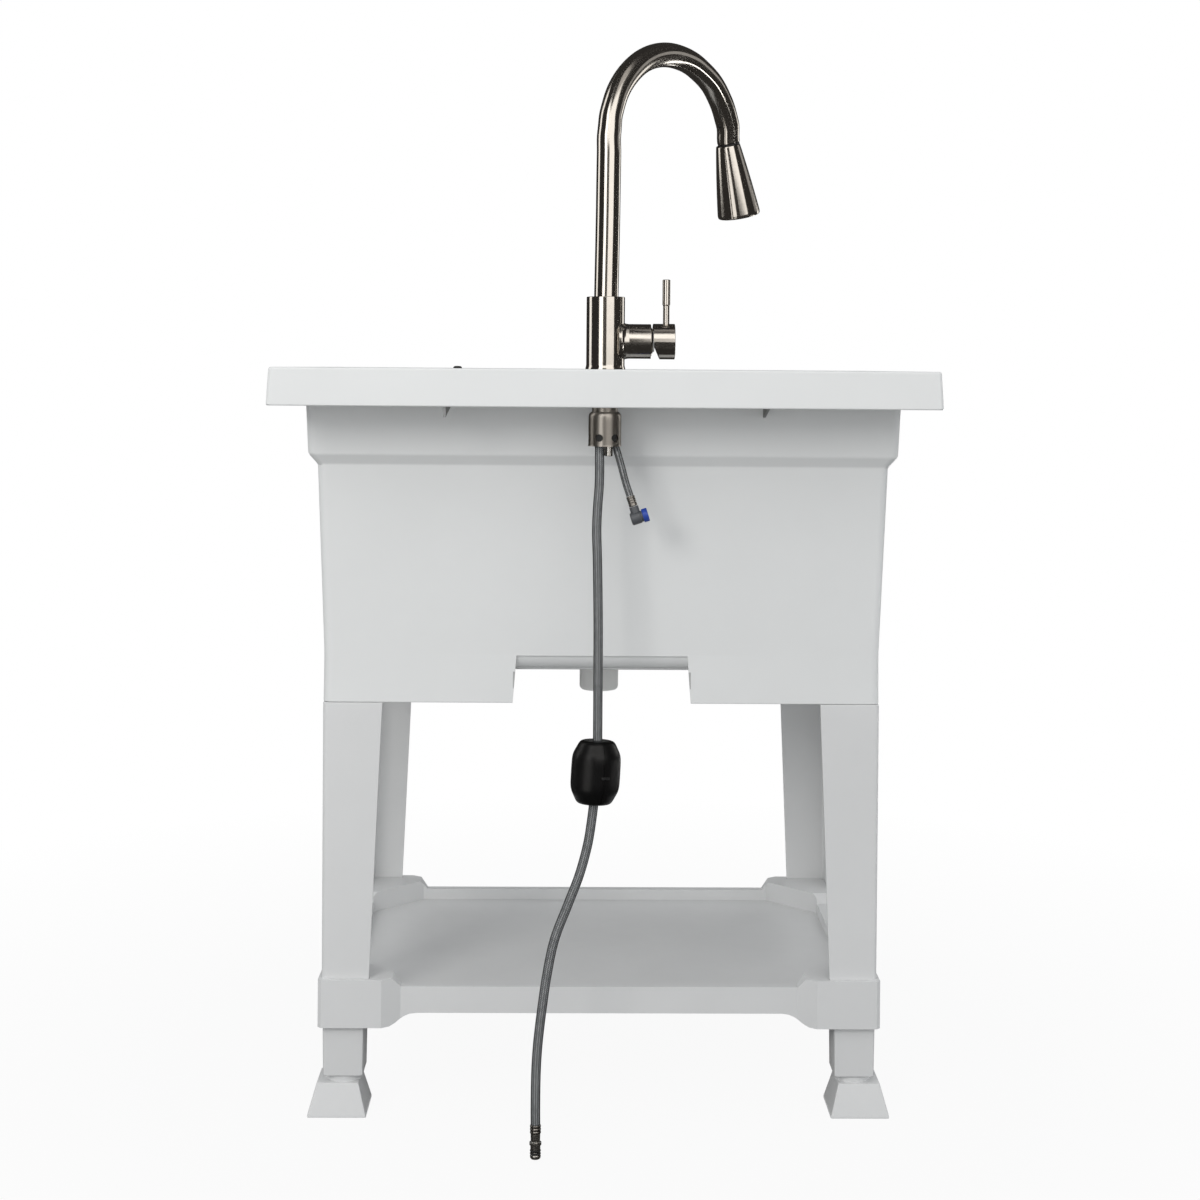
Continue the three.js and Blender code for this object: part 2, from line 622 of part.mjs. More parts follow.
piece('faucet_body', faucetBody(), NICKEL, faucet);
const baseGasket = turned(tubeProfile(20.8, shankRadiusWithRoom, deckFloor + 0.2, bodyFoot - 0.2));
piece('base_gasket', solid(baseGasket), BLACK_RUBBER, faucet);

const shank = turned(tubeProfile(SHANK_RADIUS, SHANK_BORE, SHANK_BOTTOM, bodyFoot + 5.6, 0.8));
piece('shank', solid(shank), DARK_METAL, faucet);

const plateUnderside = deckFloor - WALL;
const sleeveTop = plateUnderside - 6.2;
const stack = [
  ['rubber_washer', 26, plateUnderside - 3.3, plateUnderside - GAP, BLACK_RUBBER],
  ['metal_washer', 24, plateUnderside - 5.4, plateUnderside - 3.6, NICKEL],
  ['spacer_sleeve', 17, NUT_TOP + GAP, sleeveTop, WHITE_PLASTIC],
];
for (const [name, radius, low, high, material] of stack) {
  piece(name, solid(turned(tubeProfile(radius, SHANK_RADIUS + 0.3, low, high, 0.5))), material, faucet);
}

// The cup nut: a collar on the shank, and below its shoulder a cup with six key holes.
function mountingNut() {
  const inner = NUT_RADIUS - 1.5;
  const cup = turned([
    [SHANK_RADIUS + 0.3, NUT_TOP], [13.9, NUT_TOP], [13.9, NUT_TOP - 4], [15.6, NUT_TOP - 5.2],
    [NUT_RADIUS - 0.5, NUT_SHOULDER + 2], [NUT_RADIUS, NUT_SHOULDER - 1.5], [NUT_RADIUS, NUT_BOTTOM],
    [inner, NUT_BOTTOM], [inner, NUT_SHOULDER - 6], [SHANK_RADIUS + 0.3, NUT_SHOULDER - 8],
    [SHANK_RADIUS + 0.3, NUT_TOP],
  ], FINE);
  const holeZ = DECK_TOP - 73;
  const keyHole = (i) => {
    const angle = THREE.MathUtils.degToRad(8.2 + 60 * i);
    const drill = turnedX(rodProfile(4, 10, 20), 10).rotateZ(angle).translate(0, 0, holeZ);
    return solid(drill);
  };
  return cut(solid(cup), ...[0, 1, 2, 3, 4, 5].map(keyHole));
}

piece('mounting_nut', mountingNut(), NICKEL, faucet);

for (const [name, { x, y, radius, bottom }] of Object.entries(STUBS)) {
  const stub = turned(tubeProfile(radius, radius - 1.2, bottom, bodyFoot + 7.6, 0.4), 16);
  piece(name, solid(stub.translate(x, y, 0)), NICKEL, faucet);
}

const retainer = turned(
  tubeProfile(CHAMBER_RADIUS - 0.35, SPOUT_RADIUS + 0.3, BODY_TOP - 19.5, BODY_TOP - 0.2, 0.5),
  FINE,
);
piece('spout_retainer', solid(retainer), NICKEL, faucet);

// ---------------------------------------------------------------- valve and handle

const valve = new THREE.Group();
valve.position.set(0, FAUCET_Y, VALVE_Z);
part.add(valve);

const ROTOR_RADIUS = 11.5;
const ROTOR_END = -52;
const PIVOT_X = -48;

const housing = cut(
  solid(turnedX(rodProfile(15.5, -43.5, -22.4, 0.6))),
  solid(turnedX(rodProfile(ROTOR_RADIUS + 0.4, -44.5, -30))),
);
piece('cartridge_housing', housing, WHITE_PLASTIC, valve);

const cartridgeNut = turnedX([
  [12, -43.9], [15.5, -43.9], [15.5, BOSS_END], [14.4, BOSS_END - 1], [12.6, BOSS_END - 1.7],
  [12, BOSS_END - 1.7], [12, -43.9],
]);
piece('cartridge_nut', solid(cartridgeNut), NICKEL, valve);

const rotor = cut(
  solid(turnedX(rodProfile(ROTOR_RADIUS, ROTOR_END, -30.4, 0.6))),
  solid(box([ROTOR_END - 1, -3.9, -8.4], [-36.5, 3.9, 8.4])),
  solid(turned(rodProfile(1.85, -9.6, 9.6), 12).rotateX(Math.PI / 2).translate(PIVOT_X, 0, 0)),
);
piece('cartridge_rotor', rotor, WHITE_PLASTIC, valve);

const stem = join(
  solid(box([-65, -3.5, -3.5], [-37.5, 3.5, 3.5])),
  solid(turned(rodProfile(1.6, -9, 9), 12).rotateX(Math.PI / 2).translate(PIVOT_X, 0, 0)),
);
piece('cartridge_stem', stem, DARK_METAL, valve);

const HUB = { radius: 19, inner: -50.6, outer: -74, hollowEnd: -62 };
const LEVER_X = -64.8;

// The hub's lower half is cut back at a slant, so that it can tip down towards the boss.
function handleHub() {
  const blank = solid(turnedX(rodProfile(HUB.radius, HUB.outer, HUB.inner, 0.7), FINE));
  const wedge = slab(
    [
      [HUB.inner + 2, 1], [HUB.inner - 0.2, 0],
      [HUB.inner - 7.8, -HUB.radius - 1], [HUB.inner + 2, -HUB.radius - 1],
    ],
    -25,
    25,
    'y',
  );
  const hollow = turnedX(rodProfile(15.6, HUB.hollowEnd, HUB.inner + 1));
  const socket = box([-65.4, -3.8, -3.8], [-60, 3.8, 3.8]);
  const leverBore = turned(rodProfile(3.8, 7.4, 25), 16).translate(LEVER_X, 0, 0);
  const screwBore = turnedX(rodProfile(2.9, HUB.outer - 1, -60), 14);
  return cut(blank, solid(wedge), solid(hollow), solid(socket), solid(leverBore), solid(screwBore));
}

piece('handle_hub', handleHub(), NICKEL, valve);

const lever = turned([
  [0, 8], [3.5, 8], [3.5, 38.5], [4.2, 39.2], [4.2, 65.6], [3.5, 66.3], [0, 66.3],
], 14);
piece('handle_lever', solid(lever.translate(LEVER_X, 0, 0)), NICKEL, valve);

piece('handle_screw', solid(turnedX(rodProfile(2.5, -72.5, -65.4, 0.3), 14)), DARK_METAL, valve);

// ---------------------------------------------------------------- spout

const spoutOut = new THREE.Vector3(-Math.cos(SPOUT_TURN), -Math.sin(SPOUT_TURN), 0);

// The gooseneck's centreline, between two lengths measured from the foot of its straight riser.
class Gooseneck extends THREE.Curve {
  constructor(from, to) {
    super();
    this.from = from;
    this.to = to;
  }

  getPoint(t, target = new THREE.Vector3()) {
    const length = this.from + t * (this.to - this.from);
    const riser = SPOUT_SPRING - spoutFoot;
    const angle = Math.max(0, length - riser) / SPOUT_BEND;
    const out = SPOUT_BEND * (1 - Math.cos(angle));
    const height = spoutFoot + Math.min(length, riser) + SPOUT_BEND * Math.sin(angle);
    return target.copy(spoutOut).multiplyScalar(out).setZ(height);
  }
}

const spoutFoot = chamberFloor + 1.2;
const spoutLength = SPOUT_SPRING - spoutFoot + SPOUT_BEND * SPOUT_SWEEP;
const screwAt = spoutLength - 24;
const atScrew = new Gooseneck(screwAt, spoutLength).getPoint(0);
const bendCentre = spoutOut.clone().multiplyScalar(SPOUT_BEND).setZ(SPOUT_SPRING);
const inward = bendCentre.clone().sub(atScrew).normalize();
const screwHole = (radius, from, to) =>
  solid(swept(new THREE.LineCurve3(
    atScrew.clone().addScaledVector(inward, from),
    atScrew.clone().addScaledVector(inward, to),
  ), radius, 12, 1));

function spoutTube() {
  const tube = solid(swept(new Gooseneck(0, spoutLength), SPOUT_RADIUS, 20, 26, SPOUT_BORE));
  const ring = tubeProfile(15.8, SPOUT_BORE + 0.6, chamberFloor + 8, chamberFloor + 13);
  const collar = solid(turned(ring, 20));
  return cut(join(tube, collar), screwHole(2.1, 9, 16));
}

piece('spout_tube', spoutTube(), NICKEL, faucet);
piece('spout_screw', screwHole(1.8, SPOUT_BORE + 0.1, SPOUT_RADIUS - 0.3), BLACK_PLASTIC, faucet);

// A torus ring seal about +Z, centred on height z.
function ringSeal(centre, thickness, z, segments = 20, sides = 6) {
  const profile = Array.from({ length: sides + 1 }, (_, i) => {
    const angle = (2 * Math.PI * (i % sides)) / sides;
    return [centre + thickness * Math.cos(angle), z + thickness * Math.sin(angle)];
  });
  return solid(turned(profile, segments));
}

piece('spout_oring', ringSeal(15.05, 1.65, chamberFloor + 4.8), BLACK_RUBBER, faucet);

// ---------------------------------------------------------------- spray head, modelled mouth down

const seam = new Gooseneck(0, spoutLength).getPoint(1).add(faucet.position);
const headDown = spoutOut.clone().multiplyScalar(Math.sin(SPOUT_SWEEP)).setZ(Math.cos(SPOUT_SWEEP));
const head = turnedGroup('head', seam, headDown.clone().negate(), spoutOut);

const sleeveCurve = new Gooseneck(spoutLength - 22, spoutLength);
const toHead = new THREE.Matrix4()
  .compose(head.position, head.quaternion, new THREE.Vector3(1, 1, 1))
  .invert()
  .multiply(new THREE.Matrix4().makeTranslation(0, FAUCET_Y, 0));
const dockingSleeve = swept(sleeveCurve, 10.35, 16, 3, 8.6).applyMatrix4(toHead);
const dockingFlange = turned(tubeProfile(12.9, 8.6, -2.7, -GAP, 0.3));
const flangeNeck = turned(tubeProfile(10.35, 8.6, -GAP - 0.4, 1));
const dockingBush = join(solid(dockingSleeve), solid(flangeNeck), solid(dockingFlange));
piece('docking_bush', dockingBush, BLACK_PLASTIC, head);

const headRadius = (down) =>
  THREE.MathUtils.mapLinear(down, 3, HEAD_LENGTH - 4, HEAD_TOP_RADIUS, HEAD_MOUTH_RADIUS);
const BUTTON = { down: 40, halfWidth: 5.5, halfLength: 11 };

// An upright slot with round ends, pushed out along +X through the head's wall.
function buttonPrism(halfWidth, halfLength, from, to) {
  const shape = new THREE.Shape();
  shape.absarc(0, -BUTTON.down + halfLength - halfWidth, halfWidth, 0, Math.PI);
  shape.absarc(0, -BUTTON.down - halfLength + halfWidth, halfWidth, Math.PI, 2 * Math.PI);
  return slab(shape, from, to, 'x');
}

function headShell() {
  const wall = 2.2;
  const shell = turned([
    [7.9, -3], [HEAD_TOP_RADIUS - 0.4, -3], [HEAD_TOP_RADIUS, -3.6], [headRadius(30) + 0.5, -30],
    [headRadius(60) + 0.5, -60], [HEAD_MOUTH_RADIUS, -HEAD_LENGTH + 4],
    [HEAD_MOUTH_RADIUS - 0.2, -HEAD_LENGTH + 1],
    [HEAD_MOUTH_RADIUS - 0.9, -HEAD_LENGTH], [HEAD_MOUTH_RADIUS - wall, -HEAD_LENGTH],
    [HEAD_MOUTH_RADIUS - wall, -HEAD_LENGTH + 10], [headRadius(30) - wall, -30],
    [HEAD_TOP_RADIUS - wall + 0.6, -10], [7.9, -9], [7.9, -3],
  ], FINE);
  return cut(solid(shell), solid(buttonPrism(BUTTON.halfWidth + 0.5, BUTTON.halfLength + 0.5, 8, 30)));
}

piece('head_shell', headShell(), NICKEL, head);

// The pad follows the cone: a prism cut off by a slightly larger cone.
const buttonSkin = turned(
  [[0, -20], [headRadius(20) + 1.5, -20], [headRadius(60) + 1.5, -60], [0, -60]],
  FINE,
);
const button = solid(buttonPrism(BUTTON.halfWidth, BUTTON.halfLength, 12, 30)).intersect(solid(buttonSkin));
piece('mode_button', button, BLACK_PLASTIC, head);

const nozzleTop = -HEAD_LENGTH + 9;
const nozzle = turned([
  [0, nozzleTop], [21, nozzleTop], [21, -HEAD_LENGTH + 2], [18.5, -HEAD_LENGTH + 1.2],
  [17, -HEAD_LENGTH + 2], [9, -HEAD_LENGTH + 2], [8, -HEAD_LENGTH + 0.8], [6, -HEAD_LENGTH + 0.8],
  [5.4, -HEAD_LENGTH + 3], [0, -HEAD_LENGTH + 3],
], 20);
piece('nozzle_face', solid(nozzle), BLACK_PLASTIC, head);

const headNut = turned(tubeProfile(7.6, 5.3, -8.6, 9, 0.5), 18);
piece('head_nut', solid(headNut), DARK_METAL, head);
piece('head_hose_stub', solid(turned(rodProfile(HOSE_RADIUS, -8, 22), 12)), BRAID, head);

// ---------------------------------------------------------------- hoses inside the faucet

const inBody = swept(hoseRise, HOSE_RADIUS, 8, 8);
piece('hose_in_body', solid(inBody), BRAID, faucet);
const inSpout = swept(new Gooseneck(hoseHead.z + GAP - spoutFoot, spoutLength - 33), HOSE_RADIUS, 8, 24);
piece('hose_in_spout', solid(inSpout), BRAID, faucet);

// ---------------------------------------------------------------- spray hose behind the tub

const UPPER_ROUTE = [
  [5.4, 248.9, 755.7], [5.4, 249, 750], [5.5, 249.6, 735], [5.5, 250.4, 700.3], [7.1, 251, 675.7],
  [8, 251.5, 651.2],
  [7, 252, 619.2], [5.7, 252, 553.9], [5.4, 252, 490], [5.3, 252, 455], [5.3, 252, 427.4],
];
piece('hose_upper', solid(swept(routed(UPPER_ROUTE), HOSE_RADIUS, 8, 16)), BRAID);

const LOWER_ROUTE = [
  [5.3, 252, 427.1], [5.4, 252, 420.4], [7.3, 253.6, 394.2], [9, 255, 360.2], [11.3, 256.8, 340.5],
  [14.6, 259, 319.7], [20, 261.6, 298], [25.2, 264.3, 281.8], [35.8, 268.2, 255.3],
  [49.6, 274.4, 220.1], [57.2, 280.6, 184.9], [62, 287, 151.8], [64.6, 291, 130.7], [66.4, 293.6, 112],
  [67.6, 298, 88], [67.8, 305, 51.4], [67.6, 306.2, 38.4],
];
piece('hose_lower', solid(swept(routed(LOWER_ROUTE), HOSE_RADIUS, 8, 28)), BRAID);

const weightTop = new THREE.Vector3(5.3, 252, 427);
const weightFoot = new THREE.Vector3(9, 255, 359);
const weightAxis = weightTop.clone().sub(weightFoot);
const weightGroup = turnedGroup(
  'weight',
  weightTop.clone().add(weightFoot).multiplyScalar(0.5),
  weightAxis,
  new THREE.Vector3(Math.cos(0.38), Math.sin(0.38), 0),
);

// A barrel with round shoulders, parted down the middle into two shells that clamp the hose.
function weightHalf(side) {
  const half = 33.5;
  const barrel = turned([
    [0, -half], [13.5, -half], [18.5, -half + 2], [22.3, -half + 6.5], [24.8, -half + 13], [26.3, -16],
    [26.7, 0], [26.3, 16], [24.8, half - 13], [22.3, half - 6.5], [18.5, half - 2], [13.5, half], [0, half],
  ], 22).scale(1, 0.9, 1);
  const bore = turned(rodProfile(HOSE_RADIUS + 0.6, -half - 1, half + 1), 16);
  const pocket = turned(rodProfile(21, -24, 24, 6), 14).scale(1, 0.9, 1);
  const away = side > 0 ? box([-40, -40, -40], [0.2, 40, 40]) : box([-0.2, -40, -40], [40, 40, 40]);
  return cut(solid(barrel), solid(bore), solid(pocket), solid(away));
}

piece('weight_half_right', weightHalf(1), BLACK_PLASTIC, weightGroup);
piece('weight_half_left', weightHalf(-1), BLACK_PLASTIC, weightGroup);

// The fitting on the hose's end, modelled tip down from the hose's cut face.
const fittingDown = new THREE.Vector3(-0.2, 2.2, -37).normalize();
const fitting = turnedGroup('fitting', new THREE.Vector3(67.6, 306.2, 38.1), fittingDown.clone().negate());
piece('hose_ferrule', solid(turned(rodProfile(6.1, -9, 0, 0.6), 14)), DARK_METAL, fitting);
const nipple = turned([
  [2, -9.3], [5.2, -9.3], [4.4, -12], [4.4, -17], [6.1, -17.6], [6.1, -20.4], [4.2, -21], [4.2, -25],
  [2.9, -25.2], [2.9, -27.2], [4.1, -27.4], [4.1, -27.9], [2.9, -28.1], [2.9, -30.1], [4.1, -30.3],
  [4.1, -33], [3.3, -34.6], [2, -34.6], [2, -9.3],
], 12);
piece('hose_nipple', solid(nipple), NICKEL, fitting);
piece('nipple_oring_upper', ringSeal(4.05, 0.85, -26.2, 12), BLACK_RUBBER, fitting);
piece('nipple_oring_lower', ringSeal(4.05, 0.85, -29.1, 12), BLACK_RUBBER, fitting);

// ---------------------------------------------------------------- outlet hose and its connector

const OUTLET_ROUTE = [
  [-7.4, 244.1, 755.6], [-7.5, 244.1, 752.5], [-11.6, 246, 740], [-17.8, 248.3, 719],
  [-22.7, 250, 701], [-27.3, 251, 687.3],
];
piece('outlet_hose', solid(swept(routed(OUTLET_ROUTE), OUTLET_HOSE_RADIUS, 8, 8)), BRAID);

const ferruleTop = new THREE.Vector3(-27.4, 251, 687);
const outletDown = new THREE.Vector3(-4.1, 0.9, -12.2).normalize();
const outletEnd = turnedGroup('outlet_end', ferruleTop, outletDown.clone().negate());
piece('outlet_ferrule', solid(turned(rodProfile(4.6, -11.5, 0, 0.5), 18)), DARK_METAL, outletEnd);

const connectorAxis = new THREE.Vector3(-16.5, 0, 5.4).normalize();
const connectorCentre = new THREE.Vector3(-37.6, 252.3, 664.9);
const connector = turnedGroup('connector', connectorCentre, connectorAxis, new THREE.Vector3(0, 1, 0));
const toConnector = new THREE.Matrix4()
  .compose(connector.position, connector.quaternion, new THREE.Vector3(1, 1, 1))
  .invert();
const port = swept(
  new THREE.LineCurve3(
    ferruleTop.clone().addScaledVector(outletDown, 11.9),
    ferruleTop.clone().addScaledVector(outletDown, 19),
  ),
  5,
  14,
  1,
).applyMatrix4(toConnector);
const connectorShell = turned([
  [0, -9.5], [5.6, -9.5], [6.8, -8.3], [6.8, 1], [5.9, 1.4], [5.9, 7.4], [4.6, 7.4], [4.6, -5], [0, -5],
], 16);
const hollowPort = cut(solid(port), solid(turned(rodProfile(4.6, -5, 9), 16)));
piece('quick_connector', join(solid(connectorShell), hollowPort), GREY_PLASTIC, connector);
const clipRing = turned(tubeProfile(7.3, 6.2, 3.6, 9.6, 0.5), 16);
piece('connector_clip', solid(clipRing), BLUE_PLASTIC, connector);

export default part;
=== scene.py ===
# %% [markdown]
# # A utility laundry sink, seen from behind
# The sink is a plastic tub on four legs, with a shelf, a pull-down faucet on its rear ledge and a
# weighted spray hose that hangs free behind it. The CAD model is loaded first as a fixed frame, so
# every piece below is made at its real place and size, in metres, and then rides on a CAD body.

# %% Load the fixed frame
import json
import math

import bpy
from mathutils import Matrix, Vector

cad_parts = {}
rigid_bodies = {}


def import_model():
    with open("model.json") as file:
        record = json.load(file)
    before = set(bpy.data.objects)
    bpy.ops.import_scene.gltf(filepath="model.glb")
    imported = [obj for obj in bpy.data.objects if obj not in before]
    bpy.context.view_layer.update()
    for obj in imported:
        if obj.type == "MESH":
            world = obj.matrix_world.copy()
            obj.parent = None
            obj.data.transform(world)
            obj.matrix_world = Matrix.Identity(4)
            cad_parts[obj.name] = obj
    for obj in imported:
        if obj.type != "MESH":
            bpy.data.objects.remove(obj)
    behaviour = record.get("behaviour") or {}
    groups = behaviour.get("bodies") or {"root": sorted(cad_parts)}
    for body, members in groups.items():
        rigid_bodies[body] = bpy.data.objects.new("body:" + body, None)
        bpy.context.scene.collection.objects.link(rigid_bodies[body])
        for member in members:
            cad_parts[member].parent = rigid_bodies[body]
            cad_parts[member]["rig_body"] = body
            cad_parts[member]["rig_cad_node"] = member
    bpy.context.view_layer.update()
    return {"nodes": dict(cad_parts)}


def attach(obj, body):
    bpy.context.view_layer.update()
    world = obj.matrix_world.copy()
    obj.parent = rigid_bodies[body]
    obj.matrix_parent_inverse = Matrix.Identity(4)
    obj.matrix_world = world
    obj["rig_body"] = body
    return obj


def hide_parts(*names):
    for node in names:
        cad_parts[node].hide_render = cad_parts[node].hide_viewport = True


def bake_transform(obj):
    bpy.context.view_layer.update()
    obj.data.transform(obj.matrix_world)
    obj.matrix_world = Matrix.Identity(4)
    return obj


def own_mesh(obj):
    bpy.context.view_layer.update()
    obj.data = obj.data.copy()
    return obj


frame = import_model()
MM = 0.001

# %% [markdown]
# ## The camera
# It stands 2.3 m behind the tub at the height of the deck, so the deck is seen edge on. Its view is
# level, and a vertical shift brings the whole stand into the frame without tilting the upright lines.
# Three axes and a small roll place it, which is exact and needs no tracking constraint.

# %% Camera
camera_data = bpy.data.cameras.new("back_view")
camera = bpy.data.objects.new("back_view", camera_data)
bpy.context.scene.collection.objects.link(camera)
ahead = Vector((-0.01528, -0.99988, 0.0))
right = Vector((-0.99988, 0.01528, 0.0))
up = Vector((0.0, 0.0, 1.0))
roll = 0.0076141
axis_x = right * math.cos(roll) + up * math.sin(roll)
axis_y = up * math.cos(roll) - right * math.sin(roll)
turn = Matrix((axis_x, axis_y, -ahead)).transposed().to_4x4()
camera.matrix_world = Matrix.Translation((0.0371, 2.302, 0.824)) @ turn
camera_data.sensor_width = 36.0
camera_data.lens = 57.69
camera_data.shift_y = -0.19383
camera_data.dof.use_dof = False
bpy.context.scene.camera = camera
bpy.context.scene.view_settings.view_transform = "Standard"
print("camera at", tuple(round(value, 3) for value in camera.location))

# %% [markdown]
# ## A few habits of hand modelling
# Operators act on whatever is selected, so each step deselects first and then picks vertices, edges
# or faces by where they are. These helpers keep that in one place.

# %% Selecting and starting
def deselect():
    """Object mode, with nothing selected."""
    if bpy.context.object and bpy.context.object.mode != "OBJECT":
        bpy.ops.object.mode_set(mode="OBJECT")
    bpy.ops.object.select_all(action="DESELECT")


def activate(piece):
    """Only this piece is selected and active."""
    deselect()
    piece.select_set(True)
    bpy.context.view_layer.objects.active = piece


def settle(piece):
    """Moves the object's place into its mesh, so the object sits at the origin, unturned."""
    activate(piece)
    bpy.ops.object.transform_apply(location=True, rotation=True, scale=True)


def begin(name, add, scale=(1, 1, 1), **options):
    """Adds a primitive under a name, scaled and settled."""
    deselect()
    add(**options)
    piece = bpy.context.object
    piece.name = name
    piece.data.name = name
    piece.scale = scale
    settle(piece)
    return piece


def pick(piece, kind, test):
    """Edit mode, with exactly the vertices, edges or polygons whose middle passes the test."""
    activate(piece)
    mesh = piece.data
    bpy.ops.object.mode_set(mode="EDIT")
    bpy.ops.mesh.select_mode(type={"vertices": "VERT", "edges": "EDGE", "polygons": "FACE"}[kind])
    bpy.ops.mesh.select_all(action="DESELECT")
    bpy.ops.object.mode_set(mode="OBJECT")
    for element in getattr(mesh, kind):
        if kind == "vertices":
            middle = element.co
        elif kind == "edges":
            middle = (mesh.vertices[element.vertices[0]].co + mesh.vertices[element.vertices[1]].co) / 2
        else:
            middle = element.center
        element.select = bool(test(middle / MM, element))
    bpy.ops.object.mode_set(mode="EDIT")


def millimetres(*values):
    """A vector that is written in millimetres, in metres."""
    return Vector(values) * MM


def set_in(piece, place):
    """Turns and moves a piece that was modelled upright at the origin into its place."""
    piece.matrix_world = place
    settle(piece)
    return piece


def use_modifier(piece, kind, **settings):
    """Adds a modifier and applies it at once."""
    activate(piece)
    modifier = piece.modifiers.new(kind.lower(), kind)
    for key, value in settings.items():
        setattr(modifier, key, value)
    bpy.ops.object.modifier_apply(modifier=modifier.name)
    return piece


def bevelled(piece, width, limit=None, segments=2):
    """Bevels a piece's edges, or only those that are sharper than a limit in degrees."""
    settings = {"width": width * MM, "segments": segments}
    if limit is not None:
        settings.update(limit_method="ANGLE", angle_limit=math.radians(limit))
    return use_modifier(piece, "BEVEL", **settings)


def copied(piece, name):
    """A copy with its own mesh."""
    twin = piece.copy()
    twin.data = piece.data.copy()
    twin.name = name
    twin.data.name = name
    bpy.context.scene.collection.objects.link(twin)
    return twin


def carve(piece, cutter, operation="DIFFERENCE"):
    """Cuts a piece with another, which is then deleted."""
    use_modifier(piece, "BOOLEAN", object=cutter, operation=operation, solver="EXACT")
    bpy.data.objects.remove(cutter)
    return piece


def put_together(piece, *others):
    """One object out of several."""
    activate(piece)
    for other in others:
        other.select_set(True)
    bpy.ops.object.join()
    return piece


def everything(middle, element):
    """The test that picks all of a piece."""
    return True


def tidy_normals(piece):
    """Merges doubles and turns all faces outward."""
    pick(piece, "vertices", everything)
    bpy.ops.mesh.remove_doubles(threshold=0.05 * MM)
    bpy.ops.mesh.normals_make_consistent(inside=False)
    bpy.ops.object.mode_set(mode="OBJECT")
    return piece


def upright_at(x, y, z=0):
    """A place in millimetres, unturned."""
    return Matrix.Translation(millimetres(x, y, z))


def frame_at(origin, upward, side=(1, 0, 0)):
    """A place whose own Z runs along a direction, for pieces modelled upright that lie aslant."""
    z = Vector(upward).normalized()
    y = z.cross(Vector(side)).normalized()
    x = y.cross(z)
    return Matrix.Translation(millimetres(*origin)) @ Matrix((x, y, z)).transposed().to_4x4()


print("helpers ready")

# %% [markdown]
# ## Turned pieces
# Tubes, nuts, the faucet's body and its spray head are all turned on a lathe. A circle is extruded
# from one point of the profile to the next and resized there, which is how one would do it by hand.
# Sharp corners of a profile are first broken by a small arc, because a real edge catches the light.

# %% Profiles and turning
def softened(profile, radius, steps=3):
    """The profile with each inner corner turned into a small arc of about that radius."""
    points = [Vector(point) for point in profile]
    soft = [points[0]]
    for before, corner, after in zip(points, points[1:], points[2:]):
        back, on = before - corner, after - corner
        reach = min(radius, 0.45 * back.length, 0.45 * on.length)
        start, end = corner + back.normalized() * reach, corner + on.normalized() * reach
        for step in range(steps + 1):
            t = step / steps
            soft.append(start * (1 - t) ** 2 + corner * 2 * t * (1 - t) + end * t * t)
    soft.append(points[-1])
    return [tuple(point) for point in soft]


def turned(name, profile, sides=64):
    """A closed piece turned about +Z from [radius, height] points in millimetres."""
    pole = 0.02
    radii = [max(radius, pole) for radius, height in profile]
    heights = [height for radius, height in profile]
    piece = begin(
        name,
        bpy.ops.mesh.primitive_circle_add,
        vertices=sides,
        radius=radii[0] * MM,
        location=(0, 0, heights[0] * MM),
    )
    pick(piece, "edges", everything)
    for k in range(1, len(profile)):
        rise = (heights[k] - heights[k - 1]) * MM
        bpy.ops.mesh.extrude_region_move(TRANSFORM_OT_translate={"value": (0, 0, rise)})
        grow = radii[k] / radii[k - 1]
        bpy.ops.transform.resize(value=(grow, grow, 1), center_override=(0, 0, heights[k] * MM))
    bpy.ops.object.mode_set(mode="OBJECT")
    return tidy_normals(piece)


def tube_profile(outer, inner, low, high):
    """A plain ring's section, closed on itself."""
    return [(inner, low), (outer, low), (outer, high), (inner, high), (inner, low)]


def ring_of(name, outer, inner, low, high, edge=0.4, sides=64):
    """A plain ring whose four edges are broken."""
    loop = tube_profile(outer, inner, low, high)
    middle = ((outer + inner) / 2, low)
    return turned(name, softened([middle, *loop[1:4], loop[0], middle], edge), sides)


def seal(name, centre, thickness, height, sides=48):
    """A rubber ring: a small circle turned about Z."""
    count = 14
    angles = [math.tau * k / count for k in range(count + 1)]
    profile = [(centre + thickness * math.cos(a), height + thickness * math.sin(a)) for a in angles]
    return turned(name, profile, sides)


print("a softened square corner has", len(softened([(0, 0), (1, 0), (1, 1)], 0.2)), "points")

# %% [markdown]
# ## Finishing a piece
# Every piece ends the same way: a bevel where its edges are still sharp, smooth shading that stops at
# real edges, normals weighted by face area so flat panels stay flat, then its material, the CAD body
# that it moves with and the CAD node that it stands for.


def finished(piece, body, material, nodes=(), bevel=0.0, limit=40, angle=38, segments=2):
    """Bevels, smooths and dresses a piece, and ties it to the frame."""
    if bevel:
        bevelled(piece, bevel, limit, segments)
    activate(piece)
    bpy.ops.object.shade_smooth_by_angle(angle=math.radians(angle))
    use_modifier(piece, "WEIGHTED_NORMAL", keep_sharp=True, weight=80)
    piece.data.materials.clear()
    piece.data.materials.append(material)
    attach(piece, body)
    if nodes:
        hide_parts(*nodes)
    print(f"{piece.name}: {len(piece.data.polygons)} faces on {body}")
    return piece


def refined(node, name):
    """A copy of a CAD node as one clean mesh, ready for its edges to be bevelled."""
    piece = copied(frame["nodes"][node], name)
    piece.parent = None
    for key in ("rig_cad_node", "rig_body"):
        if key in piece:
            del piece[key]
    activate(piece)
    bpy.ops.mesh.customdata_custom_splitnormals_clear()
    pick(piece, "vertices", everything)
    bpy.ops.mesh.remove_doubles(threshold=0.005 * MM)
    bpy.ops.mesh.dissolve_limited(angle_limit=math.radians(0.6))
    bpy.ops.object.mode_set(mode="OBJECT")
    return piece


